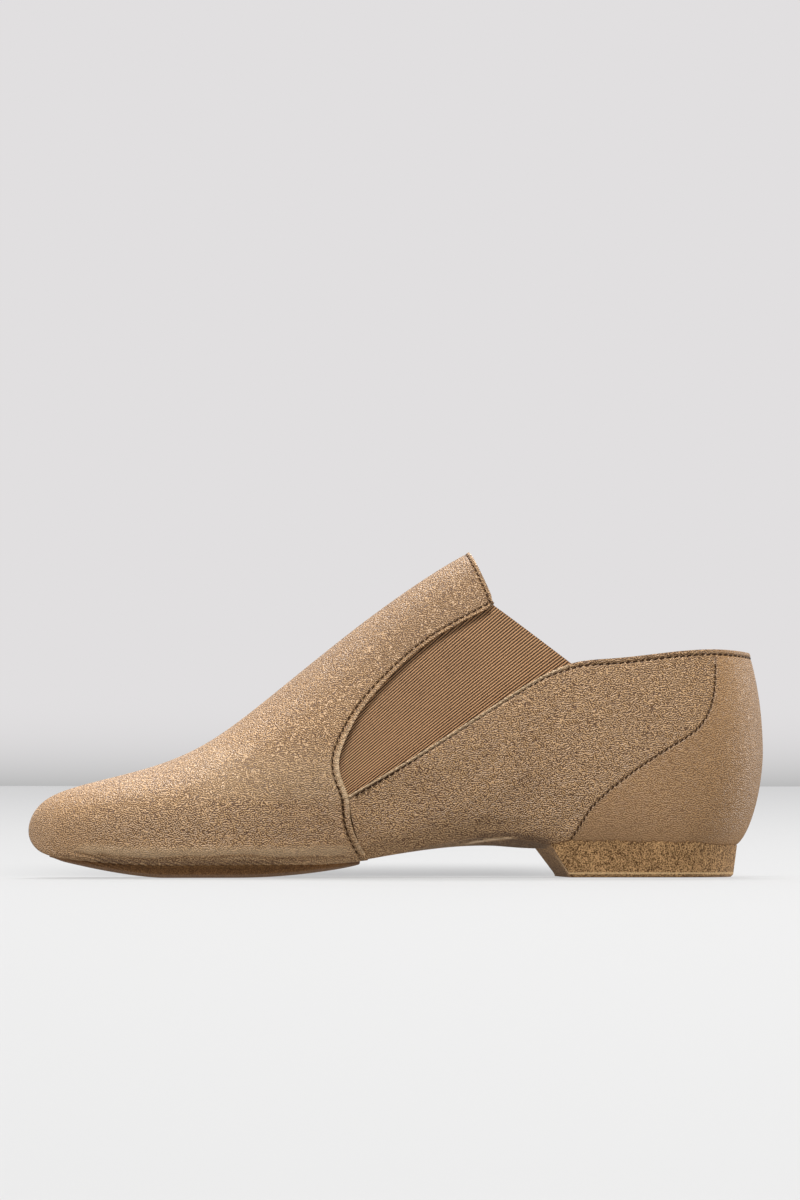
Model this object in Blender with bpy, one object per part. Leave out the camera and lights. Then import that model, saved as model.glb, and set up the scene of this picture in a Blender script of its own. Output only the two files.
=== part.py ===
"""Slip-on jazz boot for the right foot: soft leather upper, side gores, split sole and low heel.

The tables and sizes are in millimetres, measured from the toe tip (x, towards the heel), the
heel's centre line (y, towards the outer side) and the floor (z). Meshes are made in metres, with
the middle of the shoe's length and width over the origin and the toe towards -X.
"""

import math
from typing import NamedTuple

import bmesh
import bpy
import numpy as np

MM = 0.001

# Driving sizes
MIDDLE_X = 124.0          # half of the shoe's length
MIDDLE_Y = 1.79           # middle of the shoe's width
UPPER_WALL = 1.4          # leather and its lining
GORE_WALL = 1.2
INSOLE_WALL = 2.0
GAP = 0.3                 # between pieces that are glued or sewn together
LAP_STEP = 0.4            # the vamp's edge stands this far over the quarter
LAP_FADE = 14.0           # length over which the quarter comes up to the vamp's level
GORE_LAP = 5.0            # margin of the gore that is sewn behind the leather
LASTING_MARGIN = 13.0     # leather turned in under the insole
INSOLE_SHARE = 0.93       # of the underside's width

TOE_ROUND = 15.0          # how blunt the toe is
HEEL_X = 214.0            # section where the sides start to turn round the back
HEEL_REACH = 34.0         # from that section to the back of the heel
HEEL_ARC = 50.0           # length that the quarter turn round the back counts for
HEEL_SEAT_SHARE = 0.70    # of the reach, where the back wall meets the heel block
HEEL_PLAN = 2.2           # roundness of the heel seen from above, 2 is an ellipse
BACK_Q = HEEL_X + HEEL_ARC

FOREFOOT_HOLE = (18.0, 99.0)     # stretch where only the insole and sole close the upper
HEEL_HOLE_FRONT = 188.0
SOLE_ENDS = (7.0, 111.0)         # front and back end of the forefoot sole
SOLE_FLAT = (44.0, 68.0)         # stretch that stands on the floor
SOLE_TOE_RISE = 6.4
SOLE_BACK_RISE = 4.4
SOLE_EDGE_RISE = 1.0             # rounding of the sole's lower edge
SOLE_EDGE_START = 0.75
SOLE_SHARE = 0.985               # of the underside's width
HEEL_BREAST_TOP = 173.4
HEEL_BREAST_SLANT = 6.6          # the breast runs back by this much on its way down
HEEL_TAPER = 0.97
HEEL_CHAMFER = 0.8
INSOLE_FRONT = 9.0
TOE_INSET_FADE = 45.0            # length over which insole and sole come out to their full width

# Places on a half-section: 0 is the middle of the underside and 1 the ridge on top
FEATHER = 0.30            # the wall meets the underside
BELLY = 0.50              # the widest point

# Mesh rows and columns
UNDER_ROWS = 4            # across half of the underside
WALL_ROWS = 9             # from there to the lower corner of the gore, or to the topline
GORE_ROWS = 11            # along the gore's front edge
TONGUE_ROWS = 5           # along the top edge of the tongue
VAMP_COLUMNS = 19
QUARTER_COLUMNS = 20
GORE_GRID = (10, 7)
SOLE_COLUMNS = 20
SOLE_ROWS = 5
HEEL_COLUMNS = 14
HEEL_ROWS = 4
INSOLE_COLUMNS = 26
INSOLE_ROWS = 4

MEDIAL, LATERAL = -1, 1


class Section(NamedTuple):
    """Cross-section of the last at x."""

    x: float
    axis: float      # y of the ridge
    medial: float    # half-width on the inner side
    lateral: float   # half-width on the outer side
    feather: float   # share of the half-width where the wall meets the underside
    seat: float      # height of the underside
    lift: float      # how much higher the inner edge of the underside is
    belly: float     # height of the widest point
    ridge: float     # height of the top
    wall: float      # roundness below the belly
    dome: float      # roundness above the belly


SECTIONS = (
    Section(0, -5.0, 0.0, 0.0, 0.86, 15.5, 0.0, 15.5, 15.5, 2.0, 2.3),
    Section(4, -5.0, 13.0, 13.0, 0.86, 8.6, 0.0, 15.6, 24.4, 2.0, 2.3),
    Section(14, -4.5, 23.5, 24.0, 0.86, 6.2, 0.0, 15.8, 29.6, 2.0, 2.3),
    Section(34, -3.0, 33.0, 34.5, 0.86, 4.6, 0.0, 16.5, 34.9, 2.0, 2.3),
    Section(58, -1.0, 38.5, 40.0, 0.86, 4.4, 0.0, 18.0, 44.0, 2.0, 2.2),
    Section(82, 0.5, 38.5, 42.5, 0.85, 4.5, 0.0, 21.0, 61.3, 2.0, 2.1),
    Section(108, 1.0, 35.0, 40.5, 0.82, 5.6, 0.0, 27.0, 82.2, 2.0, 2.0),
    Section(136, 1.0, 31.0, 35.5, 0.79, 9.4, 1.6, 33.0, 102.2, 1.9, 2.0),
    Section(160, 0.5, 28.8, 31.5, 0.79, 10.3, 2.7, 37.0, 114.5, 1.8, 2.0),
    Section(172, 0.2, 28.4, 30.2, 0.80, 9.5, 1.6, 38.7, 117.1, 1.75, 2.0),
    Section(188, 0.0, 28.4, 29.2, 0.82, 10.4, 0.4, 40.5, 116.0, 1.7, 2.0),
    Section(214, 0.0, 29.0, 29.0, 0.83, 10.4, 0.0, 42.0, 109.0, 1.7, 2.0),
)

# The vamp's back edge from the sole up, as x at each height: lap seam, then the gore's front edge
VAMP_EDGE = (
    # z, x
    (6.6, 111.7),
    (13.5, 107.5),
    (20.3, 105.5),
    (27.0, 104.7),
    (33.0, 102.5),
    (37.5, 101.7),
    (42.5, 102.7),
    (48.5, 105.4),
    (55.5, 109.5),
    (62.5, 115.3),
    (69.3, 121.8),
    (74.7, 127.8),
    (80.5, 135.6),
    (85.5, 144.3),
    (91.2, 155.2),
)

# The quarter's top edge as height at each x: the gore's lower edge, then the collar
TOPLINE = (
    # x, z
    (104.7, 27.0),
    (123.2, 37.9),
    (141.3, 49.2),
    (156.6, 59.0),
    (168.8, 66.4),
    (180.5, 71.4),
    (193.8, 73.0),
    (216.5, 75.5),
    (230.5, 76.2),
    (243.0, 75.4),
)

GORE_CORNER_Z = 27.0                 # lower corner, where vamp, quarter and gore meet
TONGUE_CORNER = (155.2, 91.2)        # x, z of the tongue's lower corner
TONGUE_TOP = (148.4, 109.2)          # x, z of its top edge on the ridge
COLLAR_CORNER = (180.5, 71.4)        # x, z where the gore's top edge meets the collar


def smooth_curve(knots, values, start=None, end=None):
    """Cubic curve through the values with no jump in curvature; start and end fix its end slopes."""
    knots, values = np.asarray(knots, float), np.asarray(values, float)
    count, step = len(knots), np.diff(knots)
    slope = np.diff(values) / step
    system, sums = np.zeros((count, count)), np.zeros(count)
    for i in range(1, count - 1):
        system[i, i - 1:i + 2] = step[i], 2 * (step[i - 1] + step[i]), step[i - 1]
        sums[i] = 3 * (step[i] * slope[i - 1] + step[i - 1] * slope[i])
    system[0, :2], sums[0] = (2, 1), 3 * slope[0]
    system[-1, -2:], sums[-1] = (1, 2), 3 * slope[-1]
    if start is not None:
        system[0, :2], sums[0] = (1, 0), start
    if end is not None:
        system[-1, -2:], sums[-1] = (0, 1), end
    tangent = np.linalg.solve(system, sums)

    def at(place):
        place = np.clip(place, knots[0], knots[-1])
        i = np.clip(np.searchsorted(knots, place, side="right") - 1, 0, count - 2)
        h = step[i]
        t = (place - knots[i]) / h
        return (
            values[i] * (1 + 2 * t) * (1 - t) ** 2
            + values[i + 1] * t * t * (3 - 2 * t)
            + h * tangent[i] * t * (1 - t) ** 2
            + h * tangent[i + 1] * t * t * (t - 1)
        )

    return at


def smoothstep(t):
    t = np.clip(t, 0.0, 1.0)
    return t * t * (3 - 2 * t)


def power(base, exponent):
    """A power that keeps the sign, for the rounded sections."""
    return np.sign(base) * np.abs(base) ** exponent


def from_x(x):
    """Length along the shoe that is stretched at the toe, so that the toe closes in a round nose."""
    return np.sqrt(x * x + 2 * TOE_ROUND * x)


def to_x(stretched):
    return np.sqrt(stretched * stretched + TOE_ROUND**2) - TOE_ROUND


SECTION_CURVES = {
    name: smooth_curve(
        [from_x(row.x) for row in SECTIONS], [getattr(row, name) for row in SECTIONS], end=0.0
    )
    for name in Section._fields[1:]
}
vamp_edge_x = smooth_curve(*zip(*VAMP_EDGE))
topline_z = smooth_curve(*zip(*TOPLINE))


def section_at(x, side):
    """The section's values at x, with one side's half-width and the height of its lower edge."""
    row = {name: curve(from_x(x)) for name, curve in SECTION_CURVES.items()}
    row["half"] = row["medial"] if side == MEDIAL else row["lateral"]
    row["edge"] = row["seat"] + (row["lift"] if side == MEDIAL else 0.0)
    return row


def last_point(q, v, side):
    """Point of the last: q is x up to the heel section, then turns round the back; v goes up."""
    q, v = np.broadcast_arrays(np.asarray(q, float), np.asarray(v, float))
    x = np.clip(q, 0.0, HEEL_X)
    row = section_at(x, side)
    under = np.clip(v / FEATHER, 0, 1)
    wall = np.clip((v - FEATHER) / (BELLY - FEATHER), 0, 1) * math.pi / 2
    dome = np.clip((v - BELLY) / (1 - BELLY), 0, 1) * math.pi / 2
    feather = row["feather"]
    bulge = np.where(v < FEATHER, 0.0, power(np.sin(wall), 2 / row["wall"]))
    lower = np.where(v < FEATHER, feather * under, feather + (1 - feather) * bulge)
    share = np.where(v < BELLY, lower, power(np.cos(dome), 2 / row["dome"]))
    under_z = row["seat"] + (row["edge"] - row["seat"]) * under**2
    wall_z = row["belly"] - (row["belly"] - row["edge"]) * power(np.cos(wall), 2 / row["wall"])
    dome_z = row["belly"] + (row["ridge"] - row["belly"]) * power(np.sin(dome), 2 / row["dome"])
    z = np.where(v < FEATHER, under_z, np.where(v < BELLY, wall_z, dome_z))

    turn = np.maximum(q - HEEL_X, 0.0) / HEEL_ARC * math.pi / 2
    wall_share = HEEL_SEAT_SHARE + (1 - HEEL_SEAT_SHARE) * bulge
    seat_share = np.where(v < FEATHER, HEEL_SEAT_SHARE * under, wall_share)
    back_share = np.where(v < BELLY, seat_share, share)
    return np.stack([
        x + HEEL_REACH * back_share * power(np.sin(turn), 2 / HEEL_PLAN),
        row["axis"] + side * row["half"] * share * power(np.cos(turn), 2 / HEEL_PLAN),
        z,
    ], axis=-1)


def last_normal(q, v, side):
    """Outward normal of the last."""
    q, v = np.broadcast_arrays(np.asarray(q, float), np.asarray(v, float))
    step_q, step_v = 0.3, 0.003
    low, high = np.maximum(v - step_v, 0.0), np.minimum(v + step_v, 1.0)
    along = last_point(q + step_q, v, side) - last_point(np.maximum(q - step_q, 0.0), v, side)
    up = last_point(q, high, side) - last_point(q, low, side)
    level = (v <= 0) | (v >= 1)
    up[..., 2] = np.where(level, 0.0, up[..., 2])
    normal = -side * np.cross(along, up)
    normal[..., 1] = np.where(level | (q >= BACK_Q), 0.0, normal[..., 1])
    normal = np.where((q <= 0)[..., None], np.array([-1.0, 0.0, 0.0]), normal)
    normal = np.where(((v <= 0) & (q > HEEL_X))[..., None], np.array([0.0, 0.0, -1.0]), normal)
    return normal / np.linalg.norm(normal, axis=-1, keepdims=True)


def offset_point(q, v, side, depth):
    """Point at a depth under the last's surface."""
    return last_point(q, v, side) - np.asarray(depth, float)[..., None] * last_normal(q, v, side)


def height_place(x, z, side):
    """Place v on the half-section at x where its wall or dome is at height z."""
    row = section_at(np.minimum(x, HEEL_X), side)
    up = np.clip((z - row["belly"]) / (row["ridge"] - row["belly"]), 0, 1)
    down = np.clip((row["belly"] - z) / (row["belly"] - row["edge"]), 0, 1)
    dome = np.arcsin(up ** (row["dome"] / 2)) / (math.pi / 2)
    wall = np.arccos(down ** (row["wall"] / 2)) / (math.pi / 2)
    return np.where(z >= row["belly"], BELLY + (1 - BELLY) * dome, FEATHER + (BELLY - FEATHER) * wall)


def topline_place(q, side):
    """Place v of the topline on each section, round the back too."""
    turn = np.maximum(q - HEEL_X, 0.0) / HEEL_ARC * math.pi / 2
    x = np.minimum(q, HEEL_X)
    v = height_place(x, topline_z(x), side)
    for _ in range(3):
        reach = HEEL_REACH * last_share(v) * power(np.sin(turn), 2 / HEEL_PLAN)
        v = height_place(x, topline_z(x + reach), side)
    return v


def last_share(v):
    """Share of the heel section's half-width at v, above the belly."""
    dome = SECTIONS[-1].dome
    return np.cos(np.clip((v - BELLY) / (1 - BELLY), 0, 1) * math.pi / 2) ** (2 / dome)


def hole_place(q, side):
    """Place v where the turned-in leather ends: 0 where it meets in the middle of the underside."""
    row = section_at(np.minimum(q, HEEL_X), side)
    flat = row["half"] * row["feather"]
    share = np.clip(1 - LASTING_MARGIN / np.maximum(flat, LASTING_MARGIN), 0, 1)
    start, end = FOREFOOT_HOLE
    middle, half = (start + end) / 2, (end - start) / 2
    forefoot = np.clip(1 - np.abs((q - middle) / half) ** 4, 0, 1) ** 0.25
    heel = np.clip(1 - np.clip((HEEL_X - q) / (HEEL_X - HEEL_HOLE_FRONT), 0, 1) ** 3, 0, 1) ** (1 / 3)
    return FEATHER * share * np.where(q < HEEL_HOLE_FRONT, forefoot, heel)


def vamp_edge_rows(side):
    """q and v of the vamp's back edge, from the middle of the underside to the ridge."""
    corner = height_place(VAMP_EDGE[3][1], GORE_CORNER_Z, side)
    wall_v = np.linspace(FEATHER, corner, WALL_ROWS + 1)
    low_v = np.concatenate([np.linspace(0, FEATHER, UNDER_ROWS + 1)[:-1], wall_v])
    low_q = np.full_like(low_v, VAMP_EDGE[0][1])
    for _ in range(12):
        low_q = vamp_edge_x(last_point(low_q, low_v, side)[..., 2])

    fine_z = np.linspace(GORE_CORNER_Z, TONGUE_CORNER[1], 200)
    fine_x = vamp_edge_x(fine_z)
    run = np.concatenate([[0], np.cumsum(np.hypot(np.diff(fine_x), np.diff(fine_z)))])
    gore_z = np.interp(np.linspace(0, run[-1], GORE_ROWS + 1)[1:], run, fine_z)
    gore_q = vamp_edge_x(gore_z)
    gore_v = height_place(gore_q, gore_z, side)

    tongue_v = np.linspace(gore_v[-1], 1.0, TONGUE_ROWS + 1)[1:]
    tongue_q = np.full(TONGUE_ROWS, TONGUE_TOP[0])
    for _ in range(12):
        z = last_point(tongue_q, tongue_v, side)[..., 2]
        tongue_q = np.interp(z, (TONGUE_CORNER[1], TONGUE_TOP[1]), (TONGUE_CORNER[0], TONGUE_TOP[0]))
    return np.concatenate([low_q, gore_q, tongue_q]), np.concatenate([low_v, gore_v, tongue_v])


def under_rows(q, side):
    """v of the rows across the turned-in leather, up to where the wall starts."""
    start = hole_place(q[:, :UNDER_ROWS], side)
    return start + (FEATHER - start) * np.arange(UNDER_ROWS) / UNDER_ROWS


def vamp_grid(side):
    """q, v and depth of the vamp's points, toe to back edge by underside to ridge."""
    edge_q, edge_v = vamp_edge_rows(side)
    across = np.linspace(0, 1, VAMP_COLUMNS + 1)[:, None]
    q = to_x(across * from_x(edge_q))
    edge_v = edge_v[UNDER_ROWS:]
    even_v = np.linspace(FEATHER, 1, len(edge_v))
    upper_v = even_v + (edge_v - even_v) * smoothstep((across - 0.3) / 0.7)
    return q, np.concatenate([under_rows(q, side), upper_v], axis=1), np.zeros_like(q)


def quarter_grid(side):
    """q, v and depth of the quarter's points, lap seam to heel back by underside to topline."""
    edge_q, edge_v = (rows[:UNDER_ROWS + WALL_ROWS + 1] for rows in vamp_edge_rows(side))
    across = np.linspace(0, 1, QUARTER_COLUMNS + 1)[:, None]
    q = edge_q + across * (BACK_Q - edge_q)
    wall_q, wall_v = q[:, UNDER_ROWS:], edge_v[UNDER_ROWS:]
    top = np.where(across > 0, topline_place(wall_q, side), edge_v[-1])
    upper_v = FEATHER + (top - FEATHER) * (wall_v - FEATHER) / (wall_v[-1] - FEATHER)
    v = np.concatenate([under_rows(q, side), upper_v], axis=1)
    off_sole = smoothstep(2 * (v - FEATHER) / (BELLY - FEATHER))
    return q, v, LAP_STEP * off_sole * (1 - smoothstep((q - edge_q) / LAP_FADE))


def gore_grid(side):
    """q, v and depth of the gore's points; its margins go behind the leather."""
    along, across = (np.linspace(0, 1, count + 1) for count in GORE_GRID)
    slope = (COLLAR_CORNER[1] - TONGUE_CORNER[1]) / (COLLAR_CORNER[0] - TONGUE_CORNER[0])
    low_x = VAMP_EDGE[3][1] - GORE_LAP
    low_z = GORE_CORNER_Z - GORE_LAP
    front_z = low_z + along * (TONGUE_CORNER[1] - slope * GORE_LAP - low_z)
    front_x = vamp_edge_x(front_z) - GORE_LAP
    front_x[0] = low_x
    back_end = COLLAR_CORNER[0] + GORE_LAP
    back_x = low_x + along * (back_end - low_x)
    back_z = topline_z(back_x) - GORE_LAP
    back_z[-1] = COLLAR_CORNER[1] + slope * GORE_LAP
    x = front_x[:, None] * (1 - across) + back_x[:, None] * across
    z = front_z[:, None] * (1 - across) + back_z[:, None] * across
    fade_up = 1 - smoothstep((z - GORE_CORNER_Z) / LAP_FADE)
    fade_back = 1 - smoothstep((x - VAMP_EDGE[0][1]) / LAP_FADE)
    return x, height_place(x, z, side), UPPER_WALL + GAP + LAP_STEP * fade_up * fade_back


class Skin:
    """Sheet of faces with a second point below each of its points, closed into one solid."""

    def __init__(self):
        self.outer = []
        self.inner = []
        self.faces = []
        self.known = {}

    def add(self, outer, inner):
        """Number of a point; points at the same place are one."""
        key = tuple(np.round(np.concatenate([outer, inner]), 4))
        if key not in self.known:
            self.known[key] = len(self.outer)
            self.outer.append(outer)
            self.inner.append(inner)
        return self.known[key]

    def sheet(self, outer, inner, flip):
        """Adds a grid of points as faces and returns their numbers."""
        numbers = np.array([
            [self.add(a, b) for a, b in zip(*rows)] for rows in zip(outer, inner)
        ])
        self.join(numbers, flip)
        return numbers

    def join(self, numbers, flip):
        """Adds the faces between the rows of a grid of point numbers."""
        for low, high in zip(numbers[:-1], numbers[1:]):
            for corners in zip(low[:-1], high[:-1], high[1:], low[1:]):
                corners = list(dict.fromkeys(corners))
                if len(corners) > 2:
                    self.faces.append(corners[::-1] if flip else corners)

    def solid(self):
        """Points and faces of the closed solid."""
        count = len(self.outer)
        edges = {}
        for face in self.faces:
            for a, b in zip(face, face[1:] + face[:1]):
                edges[a, b] = True
        walls = [(b, a, a + count, b + count) for a, b in edges if (b, a) not in edges]
        inner = [[number + count for number in reversed(face)] for face in self.faces]
        return np.array(self.outer + self.inner), self.faces + inner + walls


def make_object(name, points, faces, material, sharp_degrees=40.0):
    """Object from points in the shoe's millimetres, placed over the origin."""
    placed = (np.asarray(points) - (MIDDLE_X, MIDDLE_Y, 0.0)) * MM
    mesh = bpy.data.meshes.new(name)
    mesh.from_pydata(placed.tolist(), [], [list(map(int, face)) for face in faces])
    mesh.validate()
    mesh.shade_smooth()
    mesh.set_sharp_from_angle(angle=math.radians(sharp_degrees))
    mesh.materials.append(material)
    made = bpy.data.objects.new(name, mesh)
    bpy.context.scene.collection.objects.link(made)
    return made


def make_material(name, colour, roughness):
    material = bpy.data.materials.new(name)
    material.use_nodes = True
    shader = material.node_tree.nodes["Principled BSDF"]
    shader.inputs["Base Color"].default_value = (*colour, 1.0)
    shader.inputs["Roughness"].default_value = roughness
    shader.inputs["Metallic"].default_value = 0.0
    material.diffuse_color = (*colour, 1.0)
    return material


def make_upper(material):
    """Vamp and both quarters, one leather shell that is open at the collar, the gores and the sole."""
    skin = Skin()
    for side in (MEDIAL, LATERAL):
        flip = side == LATERAL
        vamp_q, vamp_v, vamp_depth = vamp_grid(side)
        quarter_q, quarter_v, quarter_depth = quarter_grid(side)
        vamp = skin.sheet(
            offset_point(vamp_q, vamp_v, side, vamp_depth),
            offset_point(vamp_q, vamp_v, side, vamp_depth + UPPER_WALL),
            flip,
        )
        quarter = skin.sheet(
            offset_point(quarter_q, quarter_v, side, quarter_depth),
            offset_point(quarter_q, quarter_v, side, quarter_depth + UPPER_WALL),
            flip,
        )
        skin.join(np.stack([vamp[-1, :UNDER_ROWS + WALL_ROWS + 1], quarter[0]]), flip)
    return make_object("upper", *skin.solid(), material)


def make_gore(name, side, material):
    """Elastic panel behind the opening between vamp and quarter."""
    q, v, depth = gore_grid(side)
    skin = Skin()
    skin.sheet(
        offset_point(q, v, side, depth), offset_point(q, v, side, depth + GORE_WALL), side == MEDIAL
    )
    return make_object(name, *skin.solid(), material)


def rounded_end(distance, length, roundness):
    """Share of the width at a distance from a rounded end."""
    left = np.clip(1 - distance / length, 0, 1)
    return np.clip(1 - left**roundness, 0, 1) ** (1 / roundness)


def toe_share(places, front, side):
    """Share of the width for a piece that starts behind the toe tip with the toe's own shape."""
    inset = front * (1 - smoothstep((places - front) / TOE_INSET_FADE))
    return section_at(places - inset, side)["half"] / section_at(places, side)["half"]


def under_grid(places, shares, rows):
    """q and v of points on the underside, from the middle out to a share of the width."""
    out = np.linspace(0, 1, rows + 1)
    q = np.repeat(np.asarray(places)[:, None], rows + 1, axis=1)
    return q, FEATHER * np.asarray(shares)[:, None] * out, np.broadcast_to(out, q.shape)


def make_insole(material):
    """Sock that lies on the turned-in leather, over the whole length of the foot."""
    places = INSOLE_FRONT + to_x(np.linspace(0, from_x(BACK_Q - INSOLE_FRONT), INSOLE_COLUMNS + 1))
    skin = Skin()
    for side in (MEDIAL, LATERAL):
        shares = INSOLE_SHARE * toe_share(places, INSOLE_FRONT, side)
        q, v, _ = under_grid(places, shares, INSOLE_ROWS)
        depth = np.full_like(q, UPPER_WALL + GAP)
        skin.sheet(
            offset_point(q, v, side, depth),
            offset_point(q, v, side, depth + INSOLE_WALL),
            side == LATERAL,
        )
    return make_object("insole", *skin.solid(), material)


def sole_underside(x):
    """Height of the sole's lower face: flat under the ball, rising to the toe and to the arch."""
    front = np.clip((SOLE_FLAT[0] - x) / (SOLE_FLAT[0] - SOLE_ENDS[0]), 0, 1)
    back = np.clip((x - SOLE_FLAT[1]) / (SOLE_ENDS[1] - SOLE_FLAT[1]), 0, 1)
    return SOLE_TOE_RISE * front**1.5 + SOLE_BACK_RISE * back**2


def make_forefoot_sole(material):
    """Sole under the ball of the foot, from the toe to the arch."""
    first, last = SOLE_ENDS
    turn = np.linspace(0, math.pi, SOLE_COLUMNS + 1)
    places = (first + last) / 2 - (last - first) / 2 * np.cos(turn)
    places = np.sort(np.concatenate([places, SOLE_FLAT]))
    skin = Skin()
    for side in (MEDIAL, LATERAL):
        shares = SOLE_SHARE * toe_share(places, first, side) * rounded_end(last - places, 12.0, 2.6)
        q, v, out = under_grid(places, shares, SOLE_ROWS)
        top = last_point(q, v, side)
        top[..., 2] -= GAP
        under = top.copy()
        floor = sole_underside(top[..., 0])
        thick = top[..., 2] - floor
        rise = np.minimum(SOLE_EDGE_RISE, 0.4 * thick)
        edge = np.clip((out - SOLE_EDGE_START) / (1 - SOLE_EDGE_START), 0, 1)
        under[..., 2] = floor + rise * edge**2
        skin.sheet(under, top, side == LATERAL)
    return make_object("forefoot_sole", *skin.solid(), material)


def make_heel(material):
    """Low block under the heel seat, with a slanted breast and a chamfer round its foot."""
    places = HEEL_BREAST_TOP + (BACK_Q - HEEL_BREAST_TOP) * np.linspace(0, 1, HEEL_COLUMNS + 1)
    skin = Skin()
    for side in (MEDIAL, LATERAL):
        q, v, _ = under_grid(places, np.ones_like(places), HEEL_ROWS)
        top = last_point(q, v, side)
        top[..., 2] -= GAP
        under = top.copy()
        back = (q - HEEL_BREAST_TOP) / (BACK_Q - HEEL_BREAST_TOP)
        under[..., 0] += HEEL_BREAST_SLANT * np.clip(1 - 2 * back, 0, 1)
        under[..., 1] *= HEEL_TAPER
        under[..., 2] = 0.0
        skin.sheet(under, top, side == LATERAL)
    made = make_object("heel", *skin.solid(), material)
    chamfer_foot(made)
    return made


def chamfer_foot(made):
    """Cuts the edge between an object's flat foot and its sides."""
    shape = bmesh.new()
    shape.from_mesh(made.data)
    low = 0.01 * MM
    foot = [
        edge for edge in shape.edges
        if all(vert.co.z < low for vert in edge.verts)
        and any(face.calc_center_median().z > low for face in edge.link_faces)
    ]
    bmesh.ops.bevel(shape, geom=foot, offset=HEEL_CHAMFER * MM, segments=1, affect="EDGES")
    shape.to_mesh(made.data)
    shape.free()


def build_boot():
    """Builds every piece, with the pieces parented to one empty at the origin."""
    for old in list(bpy.data.objects):
        bpy.data.objects.remove(old)
    leather = make_material("tan leather", (0.36, 0.23, 0.13), 0.55)
    elastic = make_material("brown elastic", (0.25, 0.15, 0.085), 0.8)
    sock = make_material("insole lining", (0.42, 0.30, 0.19), 0.85)
    suede = make_material("sole suede", (0.15, 0.09, 0.05), 0.95)
    heel_suede = make_material("heel suede", (0.23, 0.14, 0.07), 0.95)
    boot = bpy.data.objects.new("boot", None)
    bpy.context.scene.collection.objects.link(boot)
    pieces = (
        make_upper(leather),
        make_gore("gore_medial", MEDIAL, elastic),
        make_gore("gore_lateral", LATERAL, elastic),
        make_insole(sock),
        make_forefoot_sole(suede),
        make_heel(heel_suede),
    )
    for piece in pieces:
        piece.parent = boot


build_boot()
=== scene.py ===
"""Slip-on jazz boot for the right foot: grained tan leather, ribbed side gores, suede sole and heel.

Sizes are in millimetres from the toe tip (x), the heel's centre line (y) and the floor (z). The
meshes are in metres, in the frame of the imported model: toe towards -X, outer side towards +Y.
"""

import logging
import math
from contextlib import contextmanager
from dataclasses import dataclass, field
from enum import Enum
from typing import Any, Iterator, Sequence, Union

import bpy
import numpy as np
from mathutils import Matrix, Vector
from mathutils.kdtree import KDTree


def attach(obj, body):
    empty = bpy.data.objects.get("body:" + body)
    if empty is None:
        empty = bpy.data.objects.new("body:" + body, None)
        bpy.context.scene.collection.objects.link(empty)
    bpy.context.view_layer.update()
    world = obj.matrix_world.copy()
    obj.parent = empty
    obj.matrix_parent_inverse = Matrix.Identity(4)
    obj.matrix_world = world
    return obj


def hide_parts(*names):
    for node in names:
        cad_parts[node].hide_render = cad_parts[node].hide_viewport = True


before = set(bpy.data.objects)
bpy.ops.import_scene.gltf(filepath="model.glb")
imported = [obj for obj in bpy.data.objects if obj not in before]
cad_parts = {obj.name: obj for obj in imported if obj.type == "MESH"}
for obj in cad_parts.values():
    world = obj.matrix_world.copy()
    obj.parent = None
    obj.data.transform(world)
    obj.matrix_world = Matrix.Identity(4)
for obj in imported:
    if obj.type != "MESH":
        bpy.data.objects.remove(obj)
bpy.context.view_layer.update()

Array = np.ndarray
Colour = tuple[float, float, float]
Value = Union["Wire", float]
MM = 0.001
TURN = 2 * math.pi
QUARTER_TURN = math.pi / 2
MIDDLE = np.array([124.0, 1.79, 0.0])   # the frame's origin, in the shoe's millimetres
SAME_POINT = 0.00002    # metres within which points are merged
NO_LENGTH = 0.000001    # metres under which an edge is dropped
LOG = logging.getLogger("jazz_boot")


class Side(Enum):
    """Inner or outer side of the foot; the value is the direction in y."""

    MEDIAL = -1
    LATERAL = 1


class Zone(Enum):
    """Material slots of a leather wall."""

    OUTSIDE = 0
    LINING = 1


def smoothstep(t: Array) -> Array:
    """Soft ramp from 0 to 1."""
    t = np.clip(t, 0.0, 1.0)
    return t * t * (3 - 2 * t)


def span(value: Array, start: float, rise: float, end: float, fall: float) -> Array:
    """1 between two places, with soft ends inside them that are rise and fall long."""
    return smoothstep((value - start) / rise) * smoothstep((end - value) / fall)


def bell(value: Array, middle: Array, width: Array) -> Array:
    """Soft hump, 1 in its middle."""
    return np.exp(-(((value - middle) / width) ** 2))


def lengths(line: Array) -> Array:
    """Length along a line of points, up to each of them."""
    return np.concatenate([[0], np.cumsum(np.linalg.norm(np.diff(line, axis=0), axis=1))])


def power(base: Array, exponent: Array) -> Array:
    """A power that keeps the sign."""
    return np.sign(base) * np.abs(base) ** exponent


def linear(red: int, green: int, blue: int) -> Colour:
    """Linear colour of a display colour given as 0 to 255."""
    shares = np.array([red, green, blue]) / 255
    return tuple(np.where(shares <= 0.04045, shares / 12.92, ((shares + 0.055) / 1.055) ** 2.4).tolist())


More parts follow.
